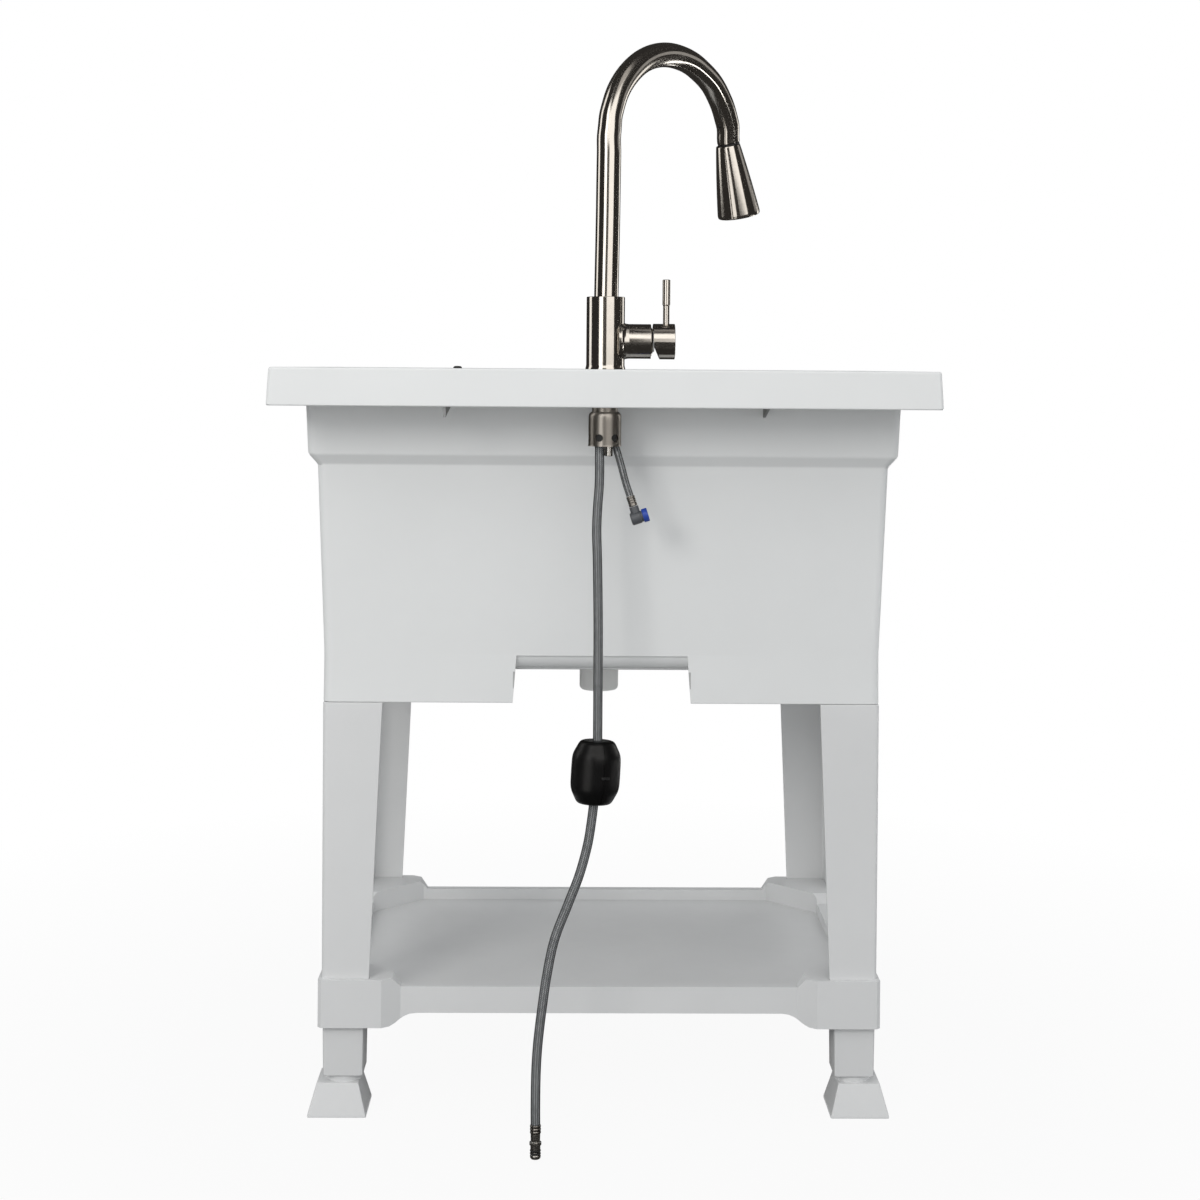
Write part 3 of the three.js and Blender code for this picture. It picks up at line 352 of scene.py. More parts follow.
def mirrored(piece, name, sign_x, sign_y):
    """A mirrored copy with its own mesh, turned right side out again."""
    twin = copied(piece, name)
    twin.scale = (sign_x, sign_y, 1)
    settle(twin)
    if sign_x * sign_y < 0:
        tidy_normals(twin)
    return twin


print("finishing ready")

# %% [markdown]
# ## The braided sheath of the hoses
# The hose is a plastic tube in a sheath of fine crossed strands. Two sets of slanting waves, laid out
# on the hose's own UV map, stand for the strands: where they cross, one lies on top. The same height
# drives colour, roughness and bump, so the weave looks cut from one piece. Fine lines along the hose
# give the drawn-out look of the sheath, and painted shade from Layer Weight darkens it towards its edges.

# %% Building node materials
def new_material(name):
    """An empty node material: its nodes, its links and its main shader."""
    material = bpy.data.materials.new(name)
    material.use_nodes = True
    tree = material.node_tree
    return material, tree.nodes, tree.links, tree.nodes["Principled BSDF"]


def calculate(nodes, links, operation, *values):
    """A math node whose inputs are numbers or other nodes' outputs."""
    node = nodes.new("ShaderNodeMath")
    node.operation = operation
    for socket, value in zip(node.inputs, values):
        if isinstance(value, (int, float)):
            socket.default_value = value
        else:
            links.new(value, socket)
    return node.outputs[0]


def ramp(nodes, links, factor, stops):
    """A colour ramp of (position, colour) stops."""
    node = nodes.new("ShaderNodeValToRGB")
    elements = node.color_ramp.elements
    while len(elements) < len(stops):
        elements.new(0.5)
    for element, (position, colour) in zip(elements, sorted(stops)):
        element.position = position
        element.color = (*colour, 1)
    links.new(factor, node.inputs["Fac"])
    return node.outputs["Color"]


def spread(nodes, links, value, low, high, to_low, to_high):
    """A value's range stretched onto another range."""
    node = nodes.new("ShaderNodeMapRange")
    links.new(value, node.inputs["Value"])
    for key, number in (("From Min", low), ("From Max", high), ("To Min", to_low), ("To Max", to_high)):
        node.inputs[key].default_value = number
    return node.outputs["Result"]


def noise(nodes, links, vector, scale, detail=3.0, roughness=0.5):
    """Soft random clouds over a vector."""
    node = nodes.new("ShaderNodeTexNoise")
    node.inputs["Scale"].default_value = scale
    node.inputs["Detail"].default_value = detail
    node.inputs["Roughness"].default_value = roughness
    links.new(vector, node.inputs["Vector"])
    return node.outputs["Fac"]


def bump(nodes, links, height, strength, distance, before=None):
    """A bump of real depth, laid over an earlier one."""
    node = nodes.new("ShaderNodeBump")
    node.inputs["Strength"].default_value = strength
    node.inputs["Distance"].default_value = distance
    links.new(height, node.inputs["Height"])
    if before is not None:
        links.new(before, node.inputs["Normal"])
    return node.outputs["Normal"]


def braid(name, radius, dark, light, from_uv=True, axis=(0, 0, 1), lines=13):
    """Crossed strands round a hose of that radius in metres."""
    material, nodes, links, shader = new_material(name)
    place = nodes.new("ShaderNodeTexCoord")
    parts = nodes.new("ShaderNodeSeparateXYZ")
    if from_uv:
        links.new(place.outputs["UV"], parts.inputs[0])
        around = calculate(nodes, links, "MULTIPLY", parts.outputs["X"], math.tau)
        along = parts.outputs["Y"]
    else:
        links.new(place.outputs["Object"], parts.inputs[0])
        around = calculate(nodes, links, "MULTIPLY", parts.outputs["X"], 1 / radius)
        dot = nodes.new("ShaderNodeVectorMath")
        dot.operation = "DOT_PRODUCT"
        dot.inputs[1].default_value = axis
        links.new(place.outputs["Object"], dot.inputs[0])
        along = dot.outputs["Value"]
    turns = calculate(nodes, links, "MULTIPLY", along, 1.15 / radius)
    strands = 12
    waves = []
    for slant in ("ADD", "SUBTRACT"):
        phase = calculate(nodes, links, "MULTIPLY", calculate(nodes, links, slant, around, turns), strands)
        waves.append(calculate(nodes, links, "SINE", phase))
    over = calculate(nodes, links, "MAXIMUM", *waves)
    height = spread(nodes, links, over, -0.7, 1.0, 0.0, 1.0)
    wear = noise(nodes, links, place.outputs["Object"], 160.0, 4.0)
    mixed = calculate(nodes, links, "MULTIPLY", height, spread(nodes, links, wear, 0.3, 0.7, 0.7, 1.15))
    strand = nodes.new("ShaderNodeCombineXYZ")
    links.new(calculate(nodes, links, "MULTIPLY", around, 3.6), strand.inputs["X"])
    links.new(calculate(nodes, links, "MULTIPLY", along, 260.0), strand.inputs["Y"])
    streaks = noise(nodes, links, strand.outputs["Vector"], 1.0, 2.0)
    mixed = calculate(nodes, links, "MULTIPLY", mixed, spread(nodes, links, streaks, 0.35, 0.65, 0.6, 1.2))
    ridges = calculate(nodes, links, "SINE", calculate(nodes, links, "MULTIPLY", around, lines))
    mixed = calculate(nodes, links, "MULTIPLY", mixed, spread(nodes, links, ridges, -0.8, 0.6, 0.3, 1.1))
    # painted shade: Layer Weight darkens the colour towards the hose's edges, where it turns away from view
    facing = nodes.new("ShaderNodeLayerWeight")
    facing.inputs["Blend"].default_value = 0.5
    rim = spread(nodes, links, facing.outputs["Facing"], 0.25, 0.72, 1.0, 0.10)
    edge_shaded_tone = nodes.new("ShaderNodeVectorMath")
    edge_shaded_tone.operation = "SCALE"
    links.new(ramp(nodes, links, mixed, [(0.1, dark), (0.95, light)]), edge_shaded_tone.inputs[0])
    links.new(rim, edge_shaded_tone.inputs["Scale"])
    links.new(edge_shaded_tone.outputs["Vector"], shader.inputs["Base Color"])
    links.new(spread(nodes, links, mixed, 0, 1, 0.55, 0.33), shader.inputs["Roughness"])
    shader.inputs["Metallic"].default_value = 0.45
    links.new(bump(nodes, links, height, 0.8, 0.0003), shader.inputs["Normal"])
    return material


SPRAY_HOSE, OUTLET_HOSE, PULL_HOSE = 0.005, 0.0038, 0.0049  # radii in metres
GAP, STRAND = (0.085, 0.09, 0.094), (0.40, 0.415, 0.425)
spray_braid = braid("spray_hose_braid", SPRAY_HOSE, GAP, STRAND)
outlet_braid = braid(
    "outlet_hose_braid", OUTLET_HOSE, (0.05, 0.053, 0.056), (0.46, 0.475, 0.485), lines=8
)
print("braid materials ready")

# %% [markdown]
# ## The hoses
# A hose is a fixed length of something springy. The spray hose leaves the faucet's shank, carries a
# weight that pulls it back, and ends in a plug-in nipple just above the floor. A second, thinner hose
# ends in the socket that this nipple belongs in. A smooth curve through a few points is followed by a
# round section, whose frame is carried along without twisting, and the UV map keeps metres along it.

# %% Hose routes, in millimetres
UPPER_ROUTE = [
    (5.4, 248.9, 755.7), (5.4, 249, 750), (5.5, 249.6, 735), (5.5, 250.4, 700.3), (7.1, 251, 675.7),
    (8, 251.5, 651.2), (7, 252, 619.2), (5.7, 252, 553.9), (5.4, 252, 490), (5.3, 252, 455),
    (5.3, 252, 427.4),
]
LOWER_ROUTE = [
    (5.3, 252, 427.1), (5.4, 252, 420.4), (7.3, 253.6, 394.2), (9, 255, 360.2), (11.3, 256.8, 340.5),
    (14.6, 259, 319.7), (20, 261.6, 298), (25.2, 264.3, 281.8), (35.8, 268.2, 255.3),
    (49.6, 274.4, 220.1), (57.2, 280.6, 184.9), (62, 287, 151.8), (64.6, 291, 130.7), (66.4, 293.6, 112),
    (67.6, 298, 88), (67.8, 305, 51.4), (67.6, 306.2, 38.4),
]
OUTLET_ROUTE = [
    (-7.4, 244.1, 755.6), (-7.5, 244.1, 752.5), (-11.6, 246, 740), (-17.8, 248.3, 719),
    (-22.7, 250, 701), (-27.3, 251, 687.3),
]


def smooth_route(points, spacing=3.0):
    """Points every few millimetres on the centripetal curve through the given ones, in metres."""
    corners = [Vector(point) for point in points]
    corners = [2 * corners[0] - corners[1], *corners, 2 * corners[-1] - corners[-2]]
    line = []
    for before, start, end, after in zip(corners, corners[1:], corners[2:], corners[3:]):
        gaps = [math.sqrt((b - a).length) for a, b in ((before, start), (start, end), (end, after))]
        straight = (end - start) / gaps[1]
        leave = (start - before) / gaps[0] - (end - before) / (gaps[0] + gaps[1]) + straight
        arrive = straight - (after - start) / (gaps[1] + gaps[2]) + (after - end) / gaps[2]
        leave, arrive = leave * gaps[1], arrive * gaps[1]
        steps = max(2, round((end - start).length / spacing))
        for step in range(steps):
            t = step / steps
            line.append(
                start * (2 * t**3 - 3 * t**2 + 1)
                + leave * (t**3 - 2 * t**2 + t)
                + end * (3 * t**2 - 2 * t**3)
                + arrive * (t**3 - t**2)
            )
    line.append(corners[-2])
    return [point * MM for point in line]


def route_length(line):
    """The length of a line of points."""
    return sum((b - a).length for a, b in zip(line, line[1:]))


def hose(name, line, radius, sides=28):
    """A round tube with closed ends along a line, with U once round it and V in metres along it."""
    across = Vector((1, 0, 0))
    rings, along = [], [0.0]
    steps = range(len(line) - 1)
    for k, point in enumerate(line):
        tangent = (line[min(k + 1, steps.stop)] - line[max(k - 1, 0)]).normalized()
        across = (across - tangent * across.dot(tangent)).normalized()
        other = tangent.cross(across)
        angles = [math.tau * i / sides for i in range(sides)]
        rings.append([point + (across * math.cos(a) + other * math.sin(a)) * radius for a in angles])
        if k:
            along.append(along[-1] + (point - line[k - 1]).length)
    vertices = [corner for ring in rings for corner in ring]
    faces, uv = [], []
    for k in steps:
        for i in range(sides):
            here, next_one = k * sides + i, k * sides + (i + 1) % sides
            faces.append((here, next_one, next_one + sides, here + sides))
            left, right = i / sides, (i + 1) / sides
            uv += [(left, along[k]), (right, along[k]), (right, along[k + 1]), (left, along[k + 1])]
    last = steps.stop * sides
    faces += [tuple(reversed(range(sides))), tuple(range(last, last + sides))]
    uv += [(0, along[0])] * sides + [(0, along[-1])] * sides
    mesh = bpy.data.meshes.new(name)
    mesh.from_pydata(vertices, [], faces)
    layer = mesh.uv_layers.new(name="hose_map")
    for loop, value in zip(layer.data, uv):
        loop.uv = value
    piece = bpy.data.objects.new(name, mesh)
    bpy.context.scene.collection.objects.link(piece)
    return piece


upper_line = smooth_route(UPPER_ROUTE)
lower_line = smooth_route(LOWER_ROUTE)
outlet_line = smooth_route(OUTLET_ROUTE, 1.5)
for label, line in (("upper", upper_line), ("lower", lower_line), ("outlet", outlet_line)):
    print(f"{label} hose is {route_length(line) * 1000:.1f} mm long")

# %% Hose pieces
upper_hose = hose("spray_hose_upper", upper_line, SPRAY_HOSE)
finished(upper_hose, "sink", spray_braid, ["hose_upper"])
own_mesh(upper_hose)
lower_hose = hose("spray_hose_lower", lower_line, SPRAY_HOSE)
finished(lower_hose, "hose_weight", spray_braid, ["hose_lower"])
outlet_hose_piece = hose("outlet_hose_run", outlet_line, OUTLET_HOSE)
finished(outlet_hose_piece, "sink", outlet_braid, ["outlet_hose"])

# %% [markdown]
# ## Moulded plastic
# The tub, legs and shelf are injection moulded, in an off-white resin with a dull sheen. The finish
# has a fine grain that the mould leaves, faint clouds where the melt flowed, and a surface that is
# never quite flat. Each of these is a noise at its own scale, on Object coordinates. Two thin ribs and
# the basin's underside lie in shadow, so boxes on the same coordinates darken their colour with
# painted shade.

# %% Plastic and rubber
def within(nodes, links, place, corner, size):
    """1 inside an upright box of the part, 0 outside it; both in millimetres."""
    split = nodes.new("ShaderNodeSeparateXYZ")
    links.new(place, split.inputs["Vector"])
    inside = 1.0
    for axis, low, length in zip("XYZ", corner, size):
        off = calculate(nodes, links, "SUBTRACT", split.outputs[axis], (low + length / 2) * MM)
        off = calculate(nodes, links, "ABSOLUTE", off)
        near = calculate(nodes, links, "LESS_THAN", off, length / 2 * MM)
        inside = calculate(nodes, links, "MULTIPLY", near, inside)
    return inside


def moulded(
    name, colour, roughness, clouds=0.03, grain=0.35, grain_scale=1500.0, sway=0.0, specular=0.5, painted_shade_boxes=()
):
    """A moulded plastic or rubber: its colour, roughness, depth of grain and boxes of painted shade."""
    material, nodes, links, shader = new_material(name)
    place = nodes.new("ShaderNodeTexCoord").outputs["Object"]
    flow = noise(nodes, links, place, 5.5, 5.0, 0.6)
    dark = tuple(value * (1 - clouds) for value in colour)
    light = tuple(min(1.0, value * (1 + clouds * 0.6)) for value in colour)
    tone = ramp(nodes, links, flow, [(0.32, dark), (0.68, light)])
    # painted shade: inside each box the base colour is darkened by its strength
    for corner, size, strength in painted_shade_boxes:
        painted_shade_mask = within(nodes, links, place, corner, size)
        scaled = nodes.new("ShaderNodeVectorMath")
        scaled.operation = "SCALE"
        links.new(tone, scaled.inputs[0])
        links.new(spread(nodes, links, painted_shade_mask, 0, 1, 1.0, strength), scaled.inputs["Scale"])
        tone = scaled.outputs["Vector"]
    links.new(tone, shader.inputs["Base Color"])
    rub = noise(nodes, links, place, 38.0, 6.0, 0.65)
    dull = spread(nodes, links, rub, 0.3, 0.7, roughness - 0.05, roughness + 0.07)
    links.new(dull, shader.inputs["Roughness"])
    fine = noise(nodes, links, place, grain_scale, 2.0)
    normal = bump(nodes, links, fine, grain, 0.00004)
    if sway:
        wave = noise(nodes, links, place, 7.0, 1.0)
        normal = bump(nodes, links, wave, sway, 0.002, normal)
    links.new(normal, shader.inputs["Normal"])
    shader.inputs["Specular IOR Level"].default_value = specular
    return material


# painted shade on the tips of the two thin ribs and the basin's underside, which lie in shadow: low corner,
# size and strength
PAINTED_SHADE_BOXES = (
    ((163.5, 208.7, 500), (15, 100, 281.5), 0.34),
    ((-179, 208.7, 500), (15, 100, 281.5), 0.34),
    ((-98, -100, 470), (196, 300, 18.5), 0.55),
)
tub_resin = moulded("tub_resin", (0.755, 0.765, 0.762), 0.40, clouds=0.018, sway=0.10, painted_shade_boxes=PAINTED_SHADE_BOXES)
# painted light: the drain's white is brighter than the other white parts, to lift the drain tail out of the
# shade in the notch
drain_resin_painted_light = moulded("drain_resin_painted_light", (0.93, 0.93, 0.91), 0.36, clouds=0.01, grain=0.15)
stand_resin = moulded("stand_resin", (0.69, 0.695, 0.695), 0.42, clouds=0.025, sway=0.12)
white_resin = moulded("white_resin", (0.80, 0.80, 0.78), 0.36, clouds=0.01, grain=0.15)
black_resin = moulded("black_resin", (0.014, 0.014, 0.015), 0.42, clouds=0.2, grain=0.5, grain_scale=900.0)
black_gum = moulded("black_gum", (0.018, 0.018, 0.018), 0.72, clouds=0.25, grain=0.6, grain_scale=700.0)
grey_resin = moulded("grey_resin", (0.085, 0.09, 0.098), 0.38, clouds=0.1, grain=0.3)
blue_resin = moulded("blue_resin", (0.024, 0.065, 0.36), 0.34, clouds=0.08, grain=0.2)
weight_skin = moulded(
    "weight_skin", (0.0038, 0.0038, 0.0040), 0.34, clouds=0.2, grain=0.5, grain_scale=650.0, specular=0.25
)
print("resins ready")

# %% [markdown]
# ## Brushed nickel
# The faucet's metal was brushed round and round on a lathe, so each scratch runs across the tube and
# a highlight is drawn out along it. Fine bands that change only along the piece's own axis make the
# scratches, and anisotropy with a tangent that runs round the axis draws out the highlight.

# %% Metals
SCRATCHES_PER_METRE = 2600.0


def brushed(name, colour, roughness=0.13, axis=None, tangent_axis="Z", stretch=0.9):
    """Metal brushed round an axis, or across a piece's UV map where no axis is given."""
    material, nodes, links, shader = new_material(name)
    place = nodes.new("ShaderNodeTexCoord")
    vector = nodes.new("ShaderNodeVectorMath")
    vector.operation = "MULTIPLY"
    if axis is None:
        vector.inputs[1].default_value = (5.0, SCRATCHES_PER_METRE, 0.0)
        links.new(place.outputs["UV"], vector.inputs[0])
        lines_in = vector.outputs["Vector"]
    else:
        dot = nodes.new("ShaderNodeVectorMath")
        dot.operation = "DOT_PRODUCT"
        dot.inputs[1].default_value = axis
        links.new(place.outputs["Object"], dot.inputs[0])
        far = nodes.new("ShaderNodeVectorMath")
        far.operation = "SCALE"
        far.inputs[0].default_value = axis
        height = calculate(nodes, links, "MULTIPLY", dot.outputs["Value"], SCRATCHES_PER_METRE)
        links.new(height, far.inputs["Scale"])
        vector.inputs[1].default_value = (45.0, 45.0, 45.0)
        links.new(place.outputs["Object"], vector.inputs[0])
        total = nodes.new("ShaderNodeVectorMath")
        total.operation = "ADD"
        links.new(vector.outputs["Vector"], total.inputs[0])
        links.new(far.outputs["Vector"], total.inputs[1])
        lines_in = total.outputs["Vector"]
    scratches = noise(nodes, links, lines_in, 1.0, 3.0, 0.6)
    stain = noise(nodes, links, place.outputs["Object"], 60.0, 4.0)
    dark = tuple(value * 0.94 for value in colour)
    light = tuple(min(1.0, value * 1.03) for value in colour)
    links.new(ramp(nodes, links, scratches, [(0.3, dark), (0.7, light)]), shader.inputs["Base Color"])
    blur = calculate(
        nodes, links, "ADD",
        spread(nodes, links, scratches, 0.25, 0.75, roughness - 0.02, roughness + 0.03),
        spread(nodes, links, stain, 0.3, 0.7, -0.01, 0.02),
    )
    links.new(blur, shader.inputs["Roughness"])
    shader.inputs["Metallic"].default_value = 1.0
    shader.inputs["Anisotropic"].default_value = stretch
    shader.inputs["Anisotropic Rotation"].default_value = 0.25
    tangent = nodes.new("ShaderNodeTangent")
    if axis is None:
        tangent.direction_type = "UV_MAP"
        tangent.uv_map = "tube_map"
    else:
        tangent.direction_type = "RADIAL"
        tangent.axis = tangent_axis
    links.new(tangent.outputs["Tangent"], shader.inputs["Tangent"])
    links.new(bump(nodes, links, scratches, 0.04, 0.00001), shader.inputs["Normal"])
    return material


NICKEL = (0.54, 0.512, 0.474)
SATIN = (0.31, 0.29, 0.265)
DARK = (0.30, 0.285, 0.265)
PLAIN = (0.62, 0.61, 0.58)
nickel_upright = brushed("nickel_upright", NICKEL, axis=(0, 0, 1))
nickel_level = brushed("nickel_level", NICKEL, axis=(1, 0, 0), tangent_axis="X")
nickel_tube = brushed("nickel_tube", NICKEL)
nickel_plain = brushed("nickel_plain", PLAIN, 0.24, axis=(0, 0, 1), stretch=0.0)
satin_nickel = brushed("satin_nickel", SATIN, 0.34, axis=(0, 0, 1), stretch=0.2)
dark_nickel = brushed("dark_nickel", DARK, 0.30, axis=(0, 0, 1), stretch=0.0)
print("metals ready")

# %% [markdown]
# ## The tub
# It is one moulding: a rim with a raised bead, a sunk deck, the basin, and under it a skirt. Seen in
# section it is a single line that starts under the basin's floor, goes down and up round the skirt,
# up the outside, round the rim and down the inside. So a plate with round corners is extruded and
# resized from level to level along that line, which gives the wall its thickness as it goes.

# %% Tub shell
TUB_Y = -28.5
TUB_LEVELS = [
    (286, 192.5, TUB_Y, 488), (293.7, 200.2, TUB_Y, 489.5), (300.1, 206.6, TUB_Y, 493.9),
    (302.6, 209.1, TUB_Y, 496.9), (302.9, 209.4, TUB_Y, 495.5), (303.2, 209.7, TUB_Y, 455.4),
    (303.5, 210, TUB_Y, 454.4), (304.4, 210.9, TUB_Y, 454), (305.5, 212, TUB_Y, 454),
    (306.4, 212.9, TUB_Y, 454.4), (306.7, 213.2, TUB_Y, 455.4), (306.3, 212.8, TUB_Y, 508),
    (314, 220.5, TUB_Y, 714.7), (315.5, 222, TUB_Y, 717.5), (321.8, 228.3, TUB_Y, 725.5),
    (323.6, 230.1, TUB_Y, 729), (327.3, 233.8, TUB_Y, 812), (329.3, 235.8, TUB_Y, 816.3),
    (350, 285, 0, 816.5, 4), (351.3, 286.3, 0, 814.5), (352, 287, 0, 783), (352.6, 287.6, 0, 782),
    (353.2, 288.2, 0, 781.7), (354.2, 289.2, 0, 781.7), (354.9, 289.9, 0, 782.1),
    (355.5, 290.5, 0, 783.2), (353.5, 288.5, 0, 820), (353.2, 288.2, 0, 820.9),
    (352.4, 287.4, 0, 821.7), (351.2, 286.2, 0, 822), (343, 278, 0, 822), (340.6, 275.6, 0, 821.4),
    (338.8, 273.8, 0, 820.2), (338, 273, 0, 820), (331, 237.5, TUB_Y, 820), (328.3, 234.8, TUB_Y, 819.3, 8),
    (326, 232.5, TUB_Y, 817.5), (324.6, 231.1, TUB_Y, 814.5), (323.8, 230.3, TUB_Y, 810),
    (320.1, 226.6, TUB_Y, 729), (310.5, 217, TUB_Y, 714.7), (302.8, 209.3, TUB_Y, 508),
    (301, 207.5, TUB_Y, 501.7), (297.4, 203.9, TUB_Y, 496.4), (291.9, 198.4, TUB_Y, 492.8),
    (286, 192.5, TUB_Y, 491.5),
]


def near_corner(from_tip, reach_x, reach_y):
    """Whether a vertex of this level belongs to the rounding whose sharp tip is meant."""
    flat = abs(from_tip.z) < 0.05
    return flat and abs(from_tip.x) < reach_x + 0.01 and abs(from_tip.y) < reach_y + 0.01


def stacked(name, levels, corner, segments):
    """A rounded plate extruded from level to level.

    A level has its half widths, its centre's Y, its height and, where its corners change, their radius.
    """
    half_x, half_y, centre, height = levels[0]
    reach_x = reach_y = corner
    piece = begin(
        name,
        bpy.ops.mesh.primitive_plane_add,
        scale=(half_x, half_y, 1),
        size=2 * MM,
        location=millimetres(0, centre, height),
    )
    pick(piece, "vertices", everything)
    bpy.ops.mesh.bevel(offset=corner * MM, segments=segments, affect="VERTICES")
    bpy.ops.mesh.select_mode(type="FACE")
    bpy.ops.mesh.select_all(action="SELECT")
    for (x0, y0, c0, z0, *_), (x1, y1, c1, z1, *new_corner) in zip(levels, levels[1:]):
        bpy.ops.mesh.extrude_region_move(TRANSFORM_OT_translate={"value": millimetres(0, c1 - c0, z1 - z0)})
        bpy.ops.transform.resize(value=(x1 / x0, y1 / y0, 1), center_override=millimetres(0, c1, z1))
        reach_x, reach_y = reach_x * x1 / x0, reach_y * y1 / y0
        for radius in new_corner:
            for side, end in ((1, 1), (1, -1), (-1, 1), (-1, -1)):
                tip = Vector((side * x1, c1 + end * y1, z1))
                pick(piece, "vertices", lambda middle, vertex: near_corner(middle - tip, reach_x, reach_y))
                bpy.ops.transform.resize(
                    value=(radius / reach_x, radius / reach_y, 1), center_override=tip * MM
                )
            reach_x = reach_y = radius
            pick(piece, "vertices", lambda middle, vertex: abs(middle.z - z1) < 0.05)
    bpy.ops.object.mode_set(mode="OBJECT")
    return tidy_normals(piece)


TUB_CORNER = 8
tub = stacked("tub_moulding", TUB_LEVELS, TUB_CORNER, 6)
print("tub shell has", len(tub.data.polygons), "faces")

# %% [markdown]
# The skirt is open at the back, so pipes can reach the drain. The basin's rounded corner shows inside
# that notch, so the cutter is a block whose front is hollowed by the same corner radius.

# %% Rear notch and holes
def block(name, low, high):
    """A box between two corners, in millimetres."""
    size = [b - a for a, b in zip(low, high)]
    centre = millimetres(*((a + b) / 2 for a, b in zip(low, high)))
    return begin(name, bpy.ops.mesh.primitive_cube_add, scale=size, size=MM, location=centre)


def rod(name, radius, low, high, sides=64):
    """A round cutter along Z."""
    return begin(
        name,
        bpy.ops.mesh.primitive_cylinder_add,
        vertices=sides,
        radius=radius * MM,
        depth=(high - low) * MM,
        location=(0, 0, (low + high) / 2 * MM),
    )


NOTCH_FOOT, NOTCH_HEAD, NOTCH_TOP = 99.3, 94.2, 506  # its half widths below and above, and its height
BASIN_BACK = TUB_Y + 192.5
lying_down = Matrix.Rotation(math.pi / 2, 4, "Y")
notch = block("notch", (-NOTCH_FOOT, BASIN_BACK, 440), (NOTCH_FOOT, TUB_Y + 230, NOTCH_TOP))
pick(notch, "vertices", lambda middle, vertex: middle.z > NOTCH_TOP - 6)
bpy.ops.transform.resize(
    value=(NOTCH_HEAD / NOTCH_FOOT, 1, 1), center_override=millimetres(0, TUB_Y + 210, NOTCH_TOP)
)
bpy.ops.object.mode_set(mode="OBJECT")
corner_round = rod("corner_round", 17.6, -200, 200, 96)
carve(notch, set_in(corner_round, upright_at(0, BASIN_BACK, 508) @ lying_down))
carve(tub, notch)

FAUCET_Y, PLUG_X = 246, 157.8
faucet_place, plug_place = upright_at(0, FAUCET_Y), upright_at(PLUG_X, FAUCET_Y)
drain_place = upright_at(0, TUB_Y)
for place, radius, low, high in (
    (drain_place, 24.5, 470, 520), (faucet_place, 15.5, 800, 830), (plug_place, 3.2, 800, 830),
):
    carve(tub, set_in(rod("drill", radius, low, high, 48), place))
carve(tub, set_in(rod("drain_recess", 45, 488.7, 500, 64), drain_place))
print("tub cut, with", len(tub.data.polygons), "faces")

# %% [markdown]
# Two thin ribs hold the ledge up from below. Only their tips show under the rim. The drain's seat is
# a thick ring under the floor. The tub is kept out of reflections, because the photographed nickel
# mirrors dark drapes where the pale deck would be.

# %% Ribs, drain seat and the tub's finish
RIB_FOOT = 764
ribs = []
for name, x, far_shift, near_z, far_z in (
    ("left", 168.8, 0, 770.5, 779.5), ("right", -171.8, -3, 782.5, 770),
):
    rib = block(f"rib_{name}", (x - 1.5, 204, RIB_FOOT), (x + 1.5, 286.5, 818))
    pick(rib, "vertices", lambda middle, vertex: middle.y < 210)
    bpy.ops.transform.translate(value=millimetres(far_shift, 0, 0))
    pick(rib, "vertices", lambda middle, vertex: middle.z < RIB_FOOT + 6 and middle.y > 280)
    bpy.ops.transform.translate(value=millimetres(0, 0, near_z - RIB_FOOT))
    pick(rib, "vertices", lambda middle, vertex: middle.z < RIB_FOOT + 6 and middle.y < 210)
    bpy.ops.transform.translate(value=millimetres(0, 0, far_z - RIB_FOOT))
    bpy.ops.object.mode_set(mode="OBJECT")
    ribs.append(bevelled(rib, 0.5))
drain_seat = set_in(ring_of("drain_seat", 50, 24.6, 485, 489, 0.8), drain_place)
bevelled(tub, 0.45, 62)
put_together(tub, *ribs, drain_seat)
finished(tub, "sink", tub_resin, ["tub"], angle=32)
tub.visible_glossy = False

plug_line = [(0, 812), (2.9, 812), (2.9, 820.3), (4.6, 820.3), (4.6, 823.2), (3.2, 824.3), (0, 824.5)]
plug = turned("ledge_plug", softened(plug_line, 0.4), 32)
finished(set_in(plug, plug_place), "sink", black_gum, ["deck_plug"])

# %% [markdown]
# ## The drain
# A flanged body drops through the floor, a rubber washer and a lugged nut clamp it from below, and a
# rubber plug closes it. Only the white tail shows, in the notch. All are turned, and the lugs are one
# block copied round by sixths.

# %% Drain
drain_line = [
    (19, 440), (19, 435), (20.8, 435), (22.6, 436.6), (23.3, 439), (23.3, 489), (43, 489), (43, 490.2),
    (24, 491.2), (22, 490.4), (20, 488.2), (19, 479.2), (19, 440),
]
drain = turned("drain_tail", softened(drain_line, 0.5), 96)
for turn in (0, math.pi / 2):
    bar = set_in(block("bar", (-19.6, -1.5, 462), (19.6, 1.5, 466)), Matrix.Rotation(turn, 4, "Z"))
    put_together(drain, bevelled(bar, 0.6))
finished(set_in(drain, drain_place), "sink", drain_resin_painted_light, ["drain_body"])

washer = set_in(ring_of("drain_washer", 41, 24, 482.3, 484.7, 0.6), drain_place)
finished(washer, "sink", black_gum, ["drain_gasket"])

locknut = ring_of("drain_nut", 33, 23.9, 470, 482, 1.0)
for sixth in range(6):
    lug = block("lug", (31, -4, 470), (37, 4, 481))
    set_in(lug, Matrix.Rotation(sixth * math.pi / 3, 4, "Z"))
    put_together(locknut, bevelled(lug, 0.9))
finished(set_in(locknut, drain_place), "sink", white_resin, ["drain_locknut"])

stopper_line = [
    (0, 480), (17.4, 480), (18.5, 487.8), (21.4, 491.8), (21.4, 494.2), (15, 495.8), (5, 496.6),
    (4.4, 504.2), (8, 506.2), (8, 510.2), (5, 511.7), (0, 512.2),
]
stopper = turned("basin_plug", softened(stopper_line, 1.2, 4), 64)
finished(set_in(stopper, drain_place), "stopper", black_gum, ["drain_stopper"])

